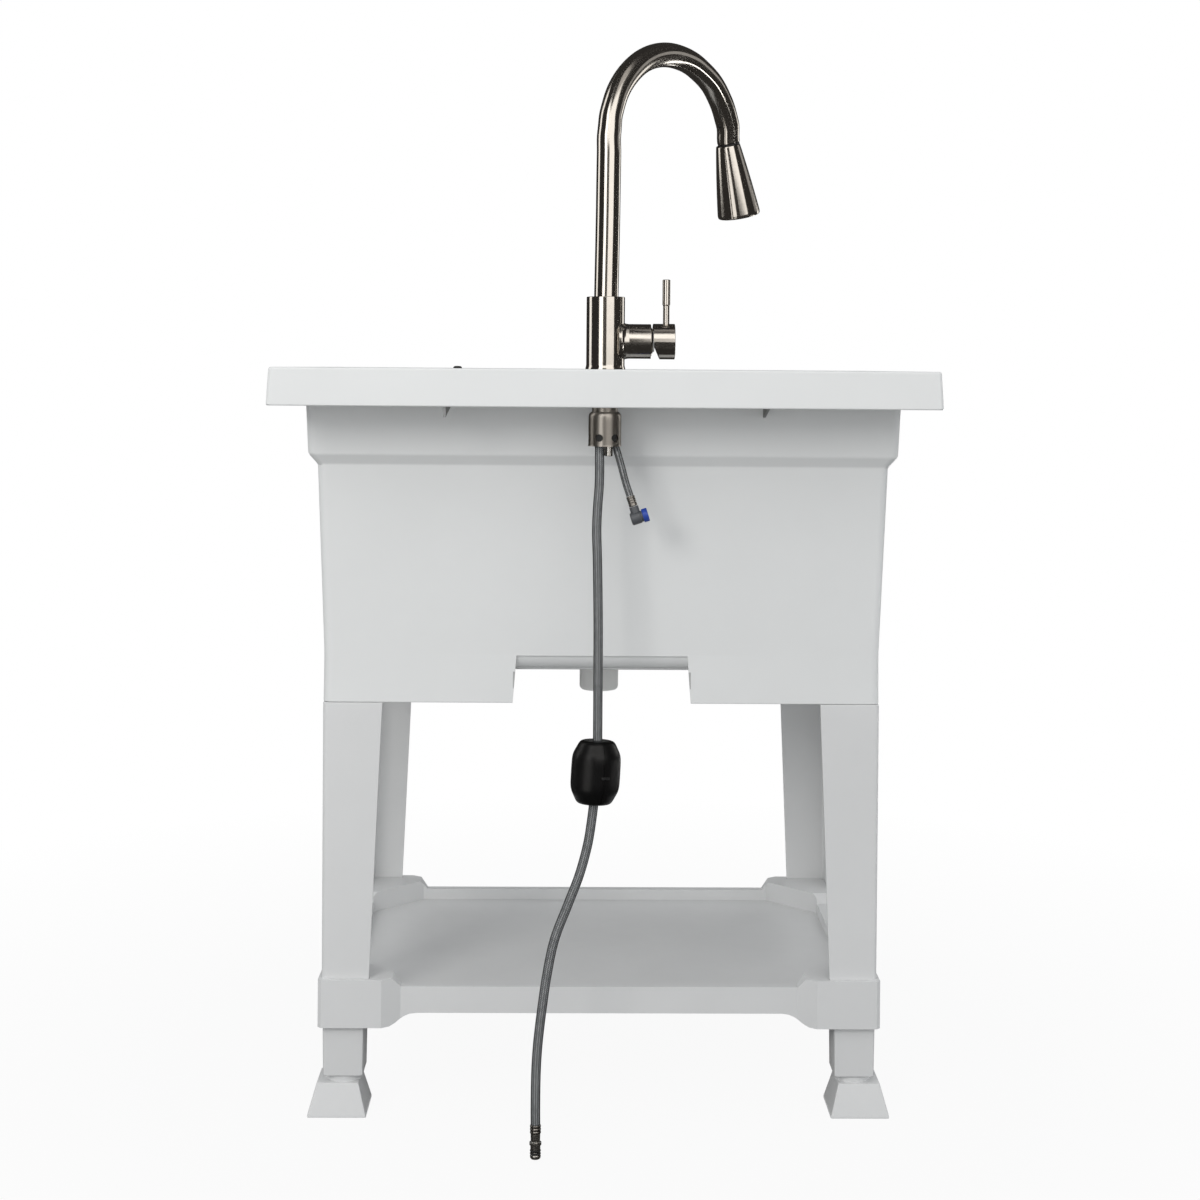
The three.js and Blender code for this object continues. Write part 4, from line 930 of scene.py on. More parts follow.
# %% [markdown]
# ## Legs
# A leg is an angle section that widens towards the tub, with a tongue that plugs into the skirt. A
# small square is extruded into two arms, its corners are rounded, and the face is drawn up level by
# level while the ends of its arms are pulled outward. One leg is made and mirrored to the others.

# %% Legs
NARROWER = 93.5


def angle_face(name, outer, width, wall, height, round_outside, round_inside):
    """An L-shaped face, with its outer corner as much nearer in Y as the stand is narrower there."""
    outer_y = outer - NARROWER
    piece = begin(
        name,
        bpy.ops.mesh.primitive_plane_add,
        size=wall * MM,
        location=millimetres(outer - wall / 2, outer_y - wall / 2, height),
    )
    pick(piece, "edges", lambda middle, edge: middle.x < outer - wall * 0.99)
    bpy.ops.mesh.extrude_region_move(TRANSFORM_OT_translate={"value": millimetres(wall - width, 0, 0)})
    pick(
        piece, "edges",
        lambda middle, edge: middle.y < outer_y - wall * 0.99 and middle.x > outer - wall,
    )
    bpy.ops.mesh.extrude_region_move(TRANSFORM_OT_translate={"value": millimetres(0, wall - width, 0)})
    pick(piece, "polygons", everything)
    bpy.ops.mesh.dissolve_limited(angle_limit=0.01)
    near = wall * 0.5
    for offset, segments, x, y in (
        (round_outside, 6, outer, outer_y),
        (round_inside, 5, outer - wall, outer_y - wall),
    ):
        pick(
            piece, "vertices",
            lambda middle, vertex: abs(middle.x - x) < near and abs(middle.y - y) < near,
        )
        bpy.ops.mesh.bevel(offset=offset * MM, segments=segments, affect="VERTICES")
    pick(
        piece, "vertices",
        lambda middle, vertex: min(middle.x - outer, middle.y - outer_y) < 0.1 - width,
    )
    bpy.ops.mesh.bevel(offset=0.8 * MM, segments=2, affect="VERTICES")
    return piece


def draw_up(piece, from_z, to_z, shift, outer, arm_now, arm_next):
    """Extrudes the top face to a new height, shifts it, and lengthens its two arms."""
    pick(
        piece, "polygons",
        lambda middle, face: abs(middle.z - from_z) < 0.1 and abs(face.normal.z) > 0.9,
    )
    bpy.ops.mesh.extrude_region_move(
        TRANSFORM_OT_translate={"value": millimetres(shift, shift, to_z - from_z)}
    )
    more = arm_now - arm_next
    if more:
        half_x = outer - arm_now / 2
        half_y = half_x - NARROWER
        pick(piece, "vertices", lambda middle, vertex: middle.z > to_z - 0.1 and middle.x < half_x)
        bpy.ops.transform.translate(value=millimetres(more, 0, 0))
        pick(piece, "vertices", lambda middle, vertex: middle.z > to_z - 0.1 and middle.y < half_y)
        bpy.ops.transform.translate(value=millimetres(0, more, 0))
    bpy.ops.object.mode_set(mode="OBJECT")


leg = angle_face("leg", 306.0, 51, 3.5, 122, 5, 3)
for step in (
    (122, 123, 0.0, 306, 51, 51), (123, 440, 0.7, 306, 51, 65),
    (440, 452.9, 0.0, 306.7, 65, 65.5), (452.9, 453.7, -0.6, 306.7, 65.5, 65),
):
    draw_up(leg, *step)
tongue = angle_face("tongue", 303.0, 60, 4.5, 424, 6, 4)
for step in (
    (424, 452, -0.3, 303, 60, 60), (452, 482.5, -0.4, 303, 60, 59), (482.5, 484, -0.7, 303, 59, 58),
):
    draw_up(tongue, *step)
put_together(leg, tongue)
tidy_normals(leg)
print("leg has", len(leg.data.polygons), "faces")

# %% Four legs
corners = {
    "rear_left": (-1, 1), "rear_right": (1, 1), "front_left": (-1, -1), "front_right": (1, -1),
}
for corner, (sign_x, sign_y) in corners.items():
    twin = mirrored(leg, f"leg_{corner}_moulding", sign_x, sign_y)
    set_in(twin, upright_at(0, TUB_Y))
    finished(twin, "sink", stand_resin, [f"leg_{corner}"], bevel=0.5, limit=50)
bpy.data.objects.remove(leg)

# %% [markdown]
# ## Shelf, extensions and feet
# The shelf is a tray between four sockets. Its CAD solid already has the true form, with its facets
# and pockets, so a copy of it is merged into one clean mesh and every hard edge is bevelled, as the
# mould's own radii would leave it. The square extensions and the sloping feet are treated the same.

# %% Shelf, extensions and feet
shelf = refined("shelf", "shelf_moulding")
finished(
    shelf, "sink", stand_resin, ["shelf"], bevel=1.0, limit=22, angle=30, segments=3
)
for corner in corners:
    for part, body, bevel, limit in (
        ("extension", "sink", 0.5, 50), ("foot", f"levelling_foot_{corner}", 0.7, 32),
    ):
        node = f"{part}_{corner}"
        piece = refined(node, f"{node}_moulding")
        finished(piece, body, stand_resin, [node], bevel=bevel, limit=limit)

# %% [markdown]
# ## The faucet's body
# A column stands on the ledge, and a short boss for the valve is welded to its side. Both are turned,
# then united, so that the weld line is real. The column's foot has a small flange on a gasket.

# %% Body
VALVE_Z = 852.1
valve_centre = upright_at(0, FAUCET_Y, VALVE_Z)
valve_place = valve_centre @ lying_down

column_line = [
    (0, 821.1), (21.3, 821.1), (21.3, 823.1), (20.5, 826.1), (20.5, 899.4), (17.2, 899.4), (17.2, 866),
    (0, 866),
]
column = turned("faucet_column", softened(column_line, 0.9), 128)
set_in(column, faucet_place)
boss_line = [
    (0, -22), (15.8, -22), (15.8, -48.5), (18.5, -48.5), (18.5, -24.5), (18.9, -21.8), (19.9, -19.4),
    (21.4, -17.4), (21.4, -14), (0, -14),
]
boss = turned("valve_boss", softened(boss_line, 0.6), 128)
set_in(boss, valve_place)
core = turned("column_core", [(0, 867), (17.3, 867), (17.3, 900.5), (0, 900.5)], 96)
carve(column, boss, "UNION")
carve(column, set_in(core, faucet_place))
finished(column, "sink", nickel_upright, ["faucet_body"], angle=30)

base_ring = set_in(ring_of("base_ring", 20.8, 15.6, 820.2, 820.9, 0.2), faucet_place)
finished(base_ring, "sink", black_gum, ["base_gasket"])
retainer = set_in(ring_of("spout_bearing", 16.85, 13.3, 879.9, 899.2, 0.7), faucet_place)
finished(retainer, "sink", nickel_upright, ["spout_retainer"])

# %% [markdown]
# ## Under the ledge
# Washers and a sleeve take the clamping force of a cup nut, whose six oval holes take a rod for
# tightening it. The nut's upper part is threaded, and its thin wall flares a little at the mouth. A
# dark sleeve stands inside it as painted shade, because its holes look black in the photograph.

# %% Washers, sleeve and cup nut
for name, node, outer, low, high, material, slot in (
    ("under_washer", "rubber_washer", 26, 813.2, 816.2, black_gum, "black_rubber"),
    ("steel_washer", "metal_washer", 24, 811.1, 812.9, nickel_plain, "nickel"),
    ("clamp_sleeve", "spacer_sleeve", 17, 781.3, 810.3, white_resin, "white_plastic"),
):
    part = set_in(ring_of(name, outer, 13.8, low, high, 0.5), faucet_place)
    finished(part, "sink", material, [node])

thread = [(13.9 - 0.35 * (k % 2), 777.5 + 0.45 * k) for k in range(7)]
nut_line = [
    (13.8, 765), (13.8, 781), *reversed(thread), (13.9, 777), (15.6, 775.8), (17, 774), (17.4, 771.5),
    (17.5, 768), (17.5, 742), (17.9, 740), (16.4, 740), (16, 742), (16, 764), (13.8, 765),
]
nut = turned("cup_nut", nut_line, 96)
oval = Matrix.Diagonal((1, 1.12, 1, 1))
for k in range(6):
    sixth = Matrix.Rotation(math.radians(8.2 + 60 * k), 4, "Z")
    carve(nut, set_in(rod("hole", 4, 8, 24, 32), sixth @ upright_at(0, 0, 749) @ lying_down @ oval))
bevelled(nut, 0.25, 60)
finished(set_in(nut, faucet_place), "sink", satin_nickel, ["mounting_nut"], angle=34)

# painted shade: a black sleeve inside the cup nut, which no CAD node stands for, darkens its holes
shade_sleeve = set_in(ring_of("nut_painted_shade_sleeve", 15.9, 14.4, 742.5, 763.5, 0.3), faucet_place)
finished(shade_sleeve, "sink", black_gum)

shank_thread = [(13.5 - 0.4 * (k % 2), 766 + 0.75 * k) for k in range(66)]
shank_line = [(12, 765), (13.1, 765), *shank_thread, (13.4, 826.7), (12, 826.7), (12, 765)]
shank = set_in(turned("shank_thread", shank_line, 64), faucet_place)
finished(shank, "sink", dark_nickel, ["shank"])

for name, node, x, y, radius, low in (
    ("hot_stub", "hot_inlet", 0.5, -7.4, 4, 729.5),
    ("cold_stub", "cold_inlet", -4.4, 6.2, 4, 729.5),
    ("outlet_pipe", "outlet_stub", -7.4, -1.9, 3.6, 756),
):
    wall = radius - 1.2
    line = [
        (wall, low + 8), (wall, low), (radius, low), (radius, low + 1.5), (radius, low + 12),
        (radius, 828.5), (wall, 828.5), (wall, low + 8),
    ]
    stub = set_in(turned(name, softened(line, 0.35), 40), upright_at(x, FAUCET_Y + y))
    finished(stub, "sink", nickel_plain, [node])

# %% [markdown]
# ## The gooseneck
# The spout is a bent tube: a straight riser and a bend of almost half a turn. A circle is extruded up
# the riser and spun round the bend's centre, and Solidify gives it its wall. Its UV map runs round
# the tube and along it in metres, so the brushing follows the bend.

# %% Gooseneck
SPOUT_RADIUS = 13
SPOUT_WALL = 1.8
SPOUT_FOOT = 867.2
SPOUT_SPRING = 1050.5
SPOUT_BEND = 124.7
SPOUT_SWEEP = math.radians(162.2)
SPOUT_TURN = math.radians(53.2)
spout_out = Vector((-math.cos(SPOUT_TURN), -math.sin(SPOUT_TURN), 0))
bend_centre = Vector((0, FAUCET_Y, SPOUT_SPRING)) + spout_out * SPOUT_BEND


def on_bend(angle):
    """A point of the bend's centreline, at an angle from where it leaves the riser."""
    point = bend_centre - spout_out * (SPOUT_BEND * math.cos(angle))
    point.z += SPOUT_BEND * math.sin(angle)
    return point


seam = on_bend(SPOUT_SWEEP)

spout = begin(
    "spout_gooseneck",
    bpy.ops.mesh.primitive_circle_add,
    vertices=96,
    radius=SPOUT_RADIUS * MM,
    location=millimetres(0, FAUCET_Y, SPOUT_FOOT),
)
pick(spout, "edges", everything)
for step in range(6):
    bpy.ops.mesh.extrude_region_move(
        TRANSFORM_OT_translate={"value": millimetres(0, 0, (SPOUT_SPRING - SPOUT_FOOT) / 6)}
    )
bpy.ops.mesh.spin(
    steps=90,
    angle=SPOUT_SWEEP,
    center=bend_centre * MM,
    axis=spout_out.cross(Vector((0, 0, 1))),
)
bpy.ops.object.mode_set(mode="OBJECT")
near_seam = [v.co.z / MM for v in spout.data.vertices if (v.co / MM - seam).length < SPOUT_RADIUS + 1]
print("the seam is at", tuple(round(value, 1) for value in seam))
print("the spun end reaches", round(min(near_seam), 1))

# %% Wall, map and finish of the gooseneck
tidy_normals(spout)
use_modifier(spout, "SOLIDIFY", thickness=SPOUT_WALL * MM, offset=-1, use_even_offset=True)


def along_spout(point):
    """Length along the gooseneck's centreline and angle round the tube, for a point on it."""
    from_centre = point - bend_centre
    outward = from_centre.dot(spout_out)
    sideways = from_centre.dot(Vector((-spout_out.y, spout_out.x, 0)))
    if point.z < SPOUT_SPRING and outward < 0:
        radial = outward + SPOUT_BEND
        return point.z - SPOUT_FOOT, math.atan2(sideways, radial)
    bend = math.atan2(from_centre.z, -outward)
    if bend < -1:
        bend += math.tau
    radial = SPOUT_BEND - math.hypot(from_centre.z, outward)
    return SPOUT_SPRING - SPOUT_FOOT + SPOUT_BEND * bend, math.atan2(sideways, radial)


def map_tube(piece, measure):
    """A UV map, round and along a tube, from a measure that gives length and angle at a point."""
    mesh = piece.data
    layer = mesh.uv_layers.new(name="tube_map")
    for face in mesh.polygons:
        values = [measure(mesh.vertices[mesh.loops[k].vertex_index].co / MM) for k in face.loop_indices]
        start = values[0][1]
        for k, (length, angle) in zip(face.loop_indices, values):
            angle = start + (angle - start + math.pi) % math.tau - math.pi
            layer.data[k].uv = (angle / math.tau, length * MM)


map_tube(spout, along_spout)

# %% [markdown]
# The real bend isn't quite a circle: it is a little fuller on its far side, leans where it leaves the
# riser and swells slightly over the top. Each ring of the tube is therefore nudged and scaled, by a
# table along the centreline.

# %% Shape of the bend
def table(stops, length):
    """A value from a table of (length, value) stops, smoothly between them."""
    for (start, low), (end, high) in zip(stops, stops[1:]):
        if length <= end:
            t = max(0.0, (length - start) / (end - start))
            return low + (high - low) * t * t * (3 - 2 * t)
    return stops[-1][1]


ASIDE = [
    (0, 0.2), (40, 0.5), (83, 1.3), (136, 1.8), (186, 2.2), (208, 0.9), (232, -0.8), (262, -1.7),
    (310, -1.2), (379, 1.2), (423, 3.3), (462, 4.8), (485, 4.5), (513, 3.5), (536, 0.1),
]
SWELL = [
    (0, 0), (183, 0.1), (240, -0.3), (300, 0), (379, 0.8), (449, 0.6), (500, 0.75), (526, 0.5),
    (536, 0.2),
]
LOWER = [(0, 0), (250, 0), (330, 0.9), (379, 1.2), (423, 0.9), (460, 0), (540, 0)]
for vertex in spout.data.vertices:
    place = vertex.co / MM
    length, _ = along_spout(place)
    past_riser = length - (SPOUT_SPRING - SPOUT_FOOT)
    if past_riser > 0:
        centre = on_bend(past_riser / SPOUT_BEND)
    else:
        centre = Vector((0, FAUCET_Y, SPOUT_FOOT + length))
    scale = 1 + table(SWELL, length) / SPOUT_RADIUS
    nudge = Vector((-table(ASIDE, length), 0, -table(LOWER, length)))
    vertex.co = (centre + (place - centre) * scale + nudge) * MM
finished(spout, "spout", nickel_tube, ["spout_tube"], bevel=0.3, limit=60, angle=35)

# %% [markdown]
# ## Spray head
# It docks on the spout's end with a black plastic ring, and is a hollow cone that swells towards its
# mouth. It is turned upright, mouth down, and then set on the slanting end of the spout. A slot is cut
# in its far side for the mode button.

# %% Spray head
head_down = spout_out * math.sin(SPOUT_SWEEP) + Vector((0, 0, math.cos(SPOUT_SWEEP)))
head_place = frame_at(seam + Vector((1.15, 0, 0)), -head_down, spout_out)
nickel_head = brushed("nickel_head", NICKEL)


HEAD_NECK, HEAD_MOUTH, HEAD_LENGTH = 14.1, 25, 81


def down_the_cone(down):
    """0 at the cone's neck, 3 mm below the seam, and 1 at its mouth."""
    return (down - 3) / HEAD_LENGTH


def cone_radius(down):
    """The head's outer radius at a distance below the seam."""
    return HEAD_NECK + (HEAD_MOUTH - HEAD_NECK) * down_the_cone(down)


shell_line = [(7.9, -6), (7.9, -3), (HEAD_NECK - 0.4, -3), (HEAD_NECK, -3.6)]
for down in (10, 20, 30, 40, 50, 60, 70, 78):
    shell_line.append((cone_radius(down) + 0.5 * math.sin(math.pi * down_the_cone(down)), -down))
shell_line += [
    (HEAD_MOUTH, -84), (24.8, -87), (24.1, -88), (22.8, -88), (22.8, -78), (15.6, -30), (12.3, -10),
    (7.9, -9), (7.9, -6),
]
shell = turned("spray_shell", softened(shell_line, 0.5, 2), 128)


def button_slot(name, half_width, half_length, near, far):
    """An upright slot with round ends that runs out along +X."""
    slot = rod(name, half_width, near, far, 40)
    pick(slot, "vertices", lambda middle, vertex: middle.y > 0.01)
    bpy.ops.transform.translate(value=millimetres(0, half_length - half_width, 0))
    pick(slot, "vertices", lambda middle, vertex: middle.y < -0.01)
    bpy.ops.transform.translate(value=millimetres(0, half_width - half_length, 0))
    bpy.ops.object.mode_set(mode="OBJECT")
    return set_in(slot, upright_at(0, 0, -40) @ lying_down @ Matrix.Rotation(math.pi / 2, 4, "Z"))


carve(shell, button_slot("slot", 6, 11.5, 8, 30))
bevelled(shell, 0.3, 60)
map_tube(shell, lambda point: (point.z, math.atan2(point.y, point.x)))
finished(set_in(shell, head_place), "spray_head", nickel_head, ["head_shell"], angle=34)

# %% [markdown]
# The nozzle face is a black plate with four rings of soft nubs, which can be rubbed clean of scale.
# One nub is turned and copied round. The button is a pad that follows the cone.

# %% Nozzle, button and docking ring
plate_line = [
    (0, -79.2), (22.4, -79.2), (22.4, -86), (19.5, -86.8), (18, -86), (9, -86), (8, -87.2), (6, -87.2),
    (5.4, -85), (0, -85),
]
plate = turned("nozzle_plate", softened(plate_line, 0.4, 2), 96)
nub_line = [(0, -85.5), (0.95, -85.5), (0.8, -87), (0.5, -87.6), (0.25, -87.6), (0.2, -86.8), (0, -86.8)]
nub = turned("nub", nub_line, 10)
nubs = []
for radius, count, offset, height in (
    (11, 12, 0, 0), (13.5, 16, 0.5, 0), (16, 20, 0, 0), (3, 6, 0, 0.8),
):
    for k in range(count):
        angle = math.tau * (k + offset) / count
        twin = copied(nub, "nub")
        twin.location = millimetres(radius * math.cos(angle), radius * math.sin(angle), height)
        nubs.append(twin)
bpy.data.objects.remove(nub)
put_together(plate, *nubs)
settle(plate)
finished(set_in(plate, head_place), "spray_head", black_gum, ["nozzle_face"])

pad = button_slot("mode_pad", 5.5, 11, 12, 24)
skin_line = [(0, -22), (cone_radius(22) + 1.4, -22), (cone_radius(58) + 1.4, -58), (0, -58)]
skin = turned("skin", skin_line, 96)
carve(pad, skin, "INTERSECT")
finished(
    set_in(pad, head_place), "button", black_resin, ["mode_button"],
    bevel=0.6, limit=45, segments=3,
)

docking = refined("docking_bush", "docking_ring")
finished(docking, "spout", black_resin, ["docking_bush"], bevel=0.15, limit=50)

# %% [markdown]
# The hose's last stretch hangs between the spout and the head when the head is pulled out. It is a
# short braided tube, made straight along the head's axis. Its weave is laid on Object coordinates,
# which keeps its scale when the tube is drawn out.

# %% Pull-out hose
pull_braid = braid("pull_out_braid", PULL_HOSE, GAP, STRAND, from_uv=False, axis=tuple(-head_down))
pull_line = [head_place @ millimetres(0, 0, 20 - step * 1.5) for step in range(19)]
pull_hose = hose("pull_out_hose", pull_line, PULL_HOSE)
pull_hose.data.materials.append(pull_braid)
activate(pull_hose)
bpy.ops.object.shade_smooth_by_angle(angle=math.radians(40))
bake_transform(pull_hose)
print("pull-out hose ready")

# %% [markdown]
# ## Valve and handle
# The hub is a short cylinder whose lower half is cut back at a slant, so that it can tip. A thin lever
# with a thicker grip stands on it, and a screw sits deep in its end face.

# %% Handle
LEVER_X = -64.8
hub_line = [(0, -74), (19, -74), (19, -50.6), (15.6, -50.6), (15.6, -62), (0, -62)]
hub = turned("lever_hub", softened(hub_line, 0.8, 4), 128)
set_in(hub, lying_down)
wedge = block("wedge", (-50.8, -25, -25), (-40, 25, 0))
pick(wedge, "vertices", lambda middle, vertex: middle.x < -45 and middle.z < -20)
bpy.ops.transform.translate(value=millimetres(-9.5, 0, 0))
bpy.ops.object.mode_set(mode="OBJECT")
carve(hub, wedge)
carve(hub, set_in(rod("lever_hole", 3.75, 7.4, 30, 40), upright_at(LEVER_X, 0)))
carve(hub, set_in(rod("screw_hole", 2.9, -80, -60, 40), lying_down))
bevelled(hub, 0.35, 60)
finished(set_in(hub, valve_centre), "handle", nickel_level, ["handle_hub"], angle=34)

lever_line = [(0, 8), (3.5, 8), (3.5, 38.4), (4.2, 39.1), (4.2, 65.7), (3.6, 66.3), (0, 66.3)]
lever = turned("lever_rod", softened(lever_line, 0.5, 3), 48)
set_in(lever, valve_centre @ upright_at(LEVER_X, 0))
finished(lever, "handle", nickel_upright, ["handle_lever"])

screw_line = [(0, -71.4), (1.2, -71.4), (1.2, -72.5), (2.5, -72.5), (2.5, -65.4), (0, -65.4)]
screw = turned("hub_screw", softened(screw_line, 0.25), 32)
finished(set_in(screw, valve_place), "handle", dark_nickel, ["handle_screw"])

nut_ring_line = [
    (12, -46), (12, -43.9), (15.5, -43.9), (15.5, -48.5), (14.4, -49.5), (12.6, -50.2), (12, -50.2),
    (12, -46),
]
nut_ring = turned("valve_nut", softened(nut_ring_line, 0.25), 96)
finished(set_in(nut_ring, valve_place), "sink", nickel_level, ["cartridge_nut"])

# %% [markdown]
# ## The weight
# Two black halves clamp the hose about half way down. They are one barrel with round shoulders, a
# little flatter than round, split down the middle, and a clasp bridges the split. The split edges are
# rounded, which makes the groove that shows.

# %% Weight
weight_top, weight_foot = Vector((5.3, 252, 427)), Vector((9, 255, 359))
SPLIT_TURN = 0.38
FLATTENED = (1, 0.9, 1)
weight_place = frame_at(
    (weight_top + weight_foot) / 2,
    weight_top - weight_foot,
    (math.cos(SPLIT_TURN), math.sin(SPLIT_TURN), 0),
)
upper_half = [
    (26.7, 0), (26.6, 12), (26, 17.5), (24.6, 21.5), (19.7, 30.8), (17.5, 32.8), (14.5, 33.5), (0, 33.5),
]
barrel_line = [*((radius, -height) for radius, height in reversed(upper_half[1:])), *upper_half]
for side, name in ((1, "right"), (-1, "left")):
    half = turned(f"weight_shell_{name}", softened(barrel_line, 3, 3), 96)
    half.scale = FLATTENED
    settle(half)
    carve(half, rod("bore", 5.5, -40, 40, 32))
    pick(half, "vertices", everything)
    bpy.ops.mesh.bisect(
        plane_co=millimetres(0.25 * side, 0, 0), plane_no=(side, 0, 0), use_fill=True, clear_inner=True
    )
    bpy.ops.object.mode_set(mode="OBJECT")
    finished(
        set_in(half, weight_place), "hose_weight", weight_skin, [f"weight_half_{name}"],
        bevel=0.7, limit=50, segments=3, angle=34,
    )

# %% Clasp on the weight
clasp = ring_of("weight_clasp", 27.3, 25.2, -4.4, -1.8, 0.4, 128)
clasp.scale = FLATTENED
settle(clasp)
carve(clasp, block("window", (-6.5, 5, -10), (3, 40, 10)), "INTERSECT")
finished(
    set_in(clasp, weight_place), "hose_weight", black_resin, bevel=0.25, limit=50
)

# %% [markdown]
# ## Fittings on the hose ends
# The spray hose ends in a crimped ferrule and a stepped nipple with two rubber rings. The outlet hose
# ends in a ferrule and a grey snap connector with a blue release ring.

# %% Nipple and ferrules
fitting_down = Vector((-0.2, 2.2, -37)).normalized()
fitting_place = frame_at((67.6, 306.2, 38.1), -fitting_down)


def ferrule(name, radius, length, grooves):
    """A crimped sleeve, mouth up at z = 0, with shallow grooves round it."""
    line = [(0, -length), (radius - 0.5, -length), (radius, -length + 0.6)]
    waist = radius - 0.35
    for height in grooves:
        line += [
            (radius, height - 0.9), (waist, height - 0.3), (waist, height + 0.3), (radius, height + 0.9),
        ]
    line += [(radius, -0.7), (radius - 0.6, 0), (0, 0)]
    return turned(name, softened(line, 0.25, 2), 48)


spray_ferrule = set_in(ferrule("spray_ferrule", 5.7, 9, (-6, -3)), fitting_place)
finished(spray_ferrule, "hose_weight", dark_nickel, ["hose_ferrule"])
nipple_line = [
    (2, -20), (2, -9.3), (5.0, -9.3), (5.0, -12), (4.8, -17), (6.2, -17.6), (6.2, -20.4), (5.2, -21),
    (5.2, -25), (3.9, -25.2), (3.9, -27.2), (5.2, -27.4), (5.2, -27.9), (3.9, -28.1), (3.9, -30.1),
    (5.3, -30.3), (5.6, -31.5), (5.4, -33.4), (4.4, -34.6), (2, -34.6), (2, -20),
]
nipple = set_in(turned("spray_nipple", softened(nipple_line, 0.15, 2), 48), fitting_place)
finished(nipple, "hose_weight", nickel_plain, ["hose_nipple"])
for name, height in (("upper", -26.2), ("lower", -29.1)):
    ring = set_in(seal(f"{name}_seal", 4.85, 0.9, height), fitting_place)
    finished(ring, "hose_weight", black_gum, [f"nipple_oring_{name}"])

outlet_down = Vector((-4.1, 0.9, -12.2)).normalized()
outlet_place = frame_at((-27.4, 251, 687), -outlet_down)
outlet_ferrule = set_in(ferrule("outlet_sleeve", 4.6, 11.5, (-8, -5.5, -3)), outlet_place)
finished(outlet_ferrule, "sink", dark_nickel, ["outlet_ferrule"])
connector = refined("quick_connector", "snap_connector")
finished(
    connector, "sink", grey_resin, ["quick_connector"], bevel=0.4, limit=40, segments=3
)
clip = refined("connector_clip", "release_ring")
finished(clip, "clip", blue_resin, ["connector_clip"], bevel=0.3, limit=40, segments=3)

# %% [markdown]
# ## The hoses

print("hoses built above")

# %% [markdown]
# ## What stays as the CAD made it
# The parts of the valve, the seals and the hose inside the faucet are hidden or barely seen. They keep
# their CAD meshes and get the finish of their material.

# %% Materials of the hidden pieces
hidden = {
    "cartridge_housing": white_resin,
    "cartridge_rotor": white_resin,
    "cartridge_stem": dark_nickel,
    "head_nut": dark_nickel,
    "spout_oring": black_gum,
    "spout_screw": black_resin,
    "hose_in_body": spray_braid,
    "hose_in_spout": spray_braid,
    "head_hose_stub": spray_braid,
}
for node, material in hidden.items():
    mesh = frame["nodes"][node].data
    mesh.materials.clear()
    mesh.materials.append(material)
print("hidden nodes dressed:", len(hidden))

# %% [markdown]
# ## Floor, background and light
# The floor is white and keeps the object's shadow. Beyond it the world is white for the camera, for
# mirrors and for clear things, and only a plain grey for the light that it sends out. Metal needs
# something to mirror: a studio's dark drapes and light panels stand round the object, where only
# reflections meet them.

# %% Floor and world
floor = begin("studio_floor", bpy.ops.mesh.primitive_plane_add, size=40)
floor_paint, nodes, links, shader = new_material("floor_paint")
shader.inputs["Base Color"].default_value = (0.36, 0.36, 0.36, 1)
shader.inputs["Roughness"].default_value = 0.9
shader.inputs["Specular IOR Level"].default_value = 0.0
glow = nodes.new("ShaderNodeEmission")
glow.inputs["Strength"].default_value = 1.0
rays = nodes.new("ShaderNodeLightPath")
mix = nodes.new("ShaderNodeMixShader")
away = nodes.new("ShaderNodeVectorMath")
away.operation = "LENGTH"
links.new(nodes.new("ShaderNodeTexCoord").outputs["Object"], away.inputs[0])
whiteness = spread(nodes, links, away.outputs["Value"], 0.5, 1.4, 0.94, 1.0)
seen = calculate(nodes, links, "MAXIMUM", rays.outputs["Is Camera Ray"], rays.outputs["Is Glossy Ray"])
links.new(calculate(nodes, links, "MULTIPLY", seen, whiteness), mix.inputs["Fac"])
links.new(shader.outputs["BSDF"], mix.inputs[1])
links.new(glow.outputs["Emission"], mix.inputs[2])
links.new(mix.outputs["Shader"], nodes["Material Output"].inputs["Surface"])
floor.data.materials.append(floor_paint)

world = bpy.data.worlds.new("white_room")
bpy.context.scene.world = world
world.use_nodes = True
nodes, links = world.node_tree.nodes, world.node_tree.links
rays = nodes.new("ShaderNodeLightPath")
seen = calculate(nodes, links, "MAXIMUM", rays.outputs["Is Camera Ray"], rays.outputs["Is Glossy Ray"])
seen = calculate(nodes, links, "MAXIMUM", seen, rays.outputs["Is Transmission Ray"])
AMBIENT = 0.80
AMBIENT_COLOUR = (AMBIENT * 0.97, AMBIENT * 0.985, AMBIENT)
sky = ramp(nodes, links, seen, [(0.0, AMBIENT_COLOUR), (1.0, (1, 1, 1))])
links.new(sky, nodes["Background"].inputs["Color"])
nodes["Background"].inputs["Strength"].default_value = 1.0
print("ambient light", AMBIENT)

# %% [markdown]
# ## What the metal mirrors
# A large drum stands round the sink. Only reflections meet it, so it lights nothing else. It glows
# faintly, as dark drapes do, with brighter panels at the bearings that the photograph's highlights
# come from. For an upright tube the bearing of a reflection is twice the angle of its surface, so the
# panels follow from where each band lies across the riser.

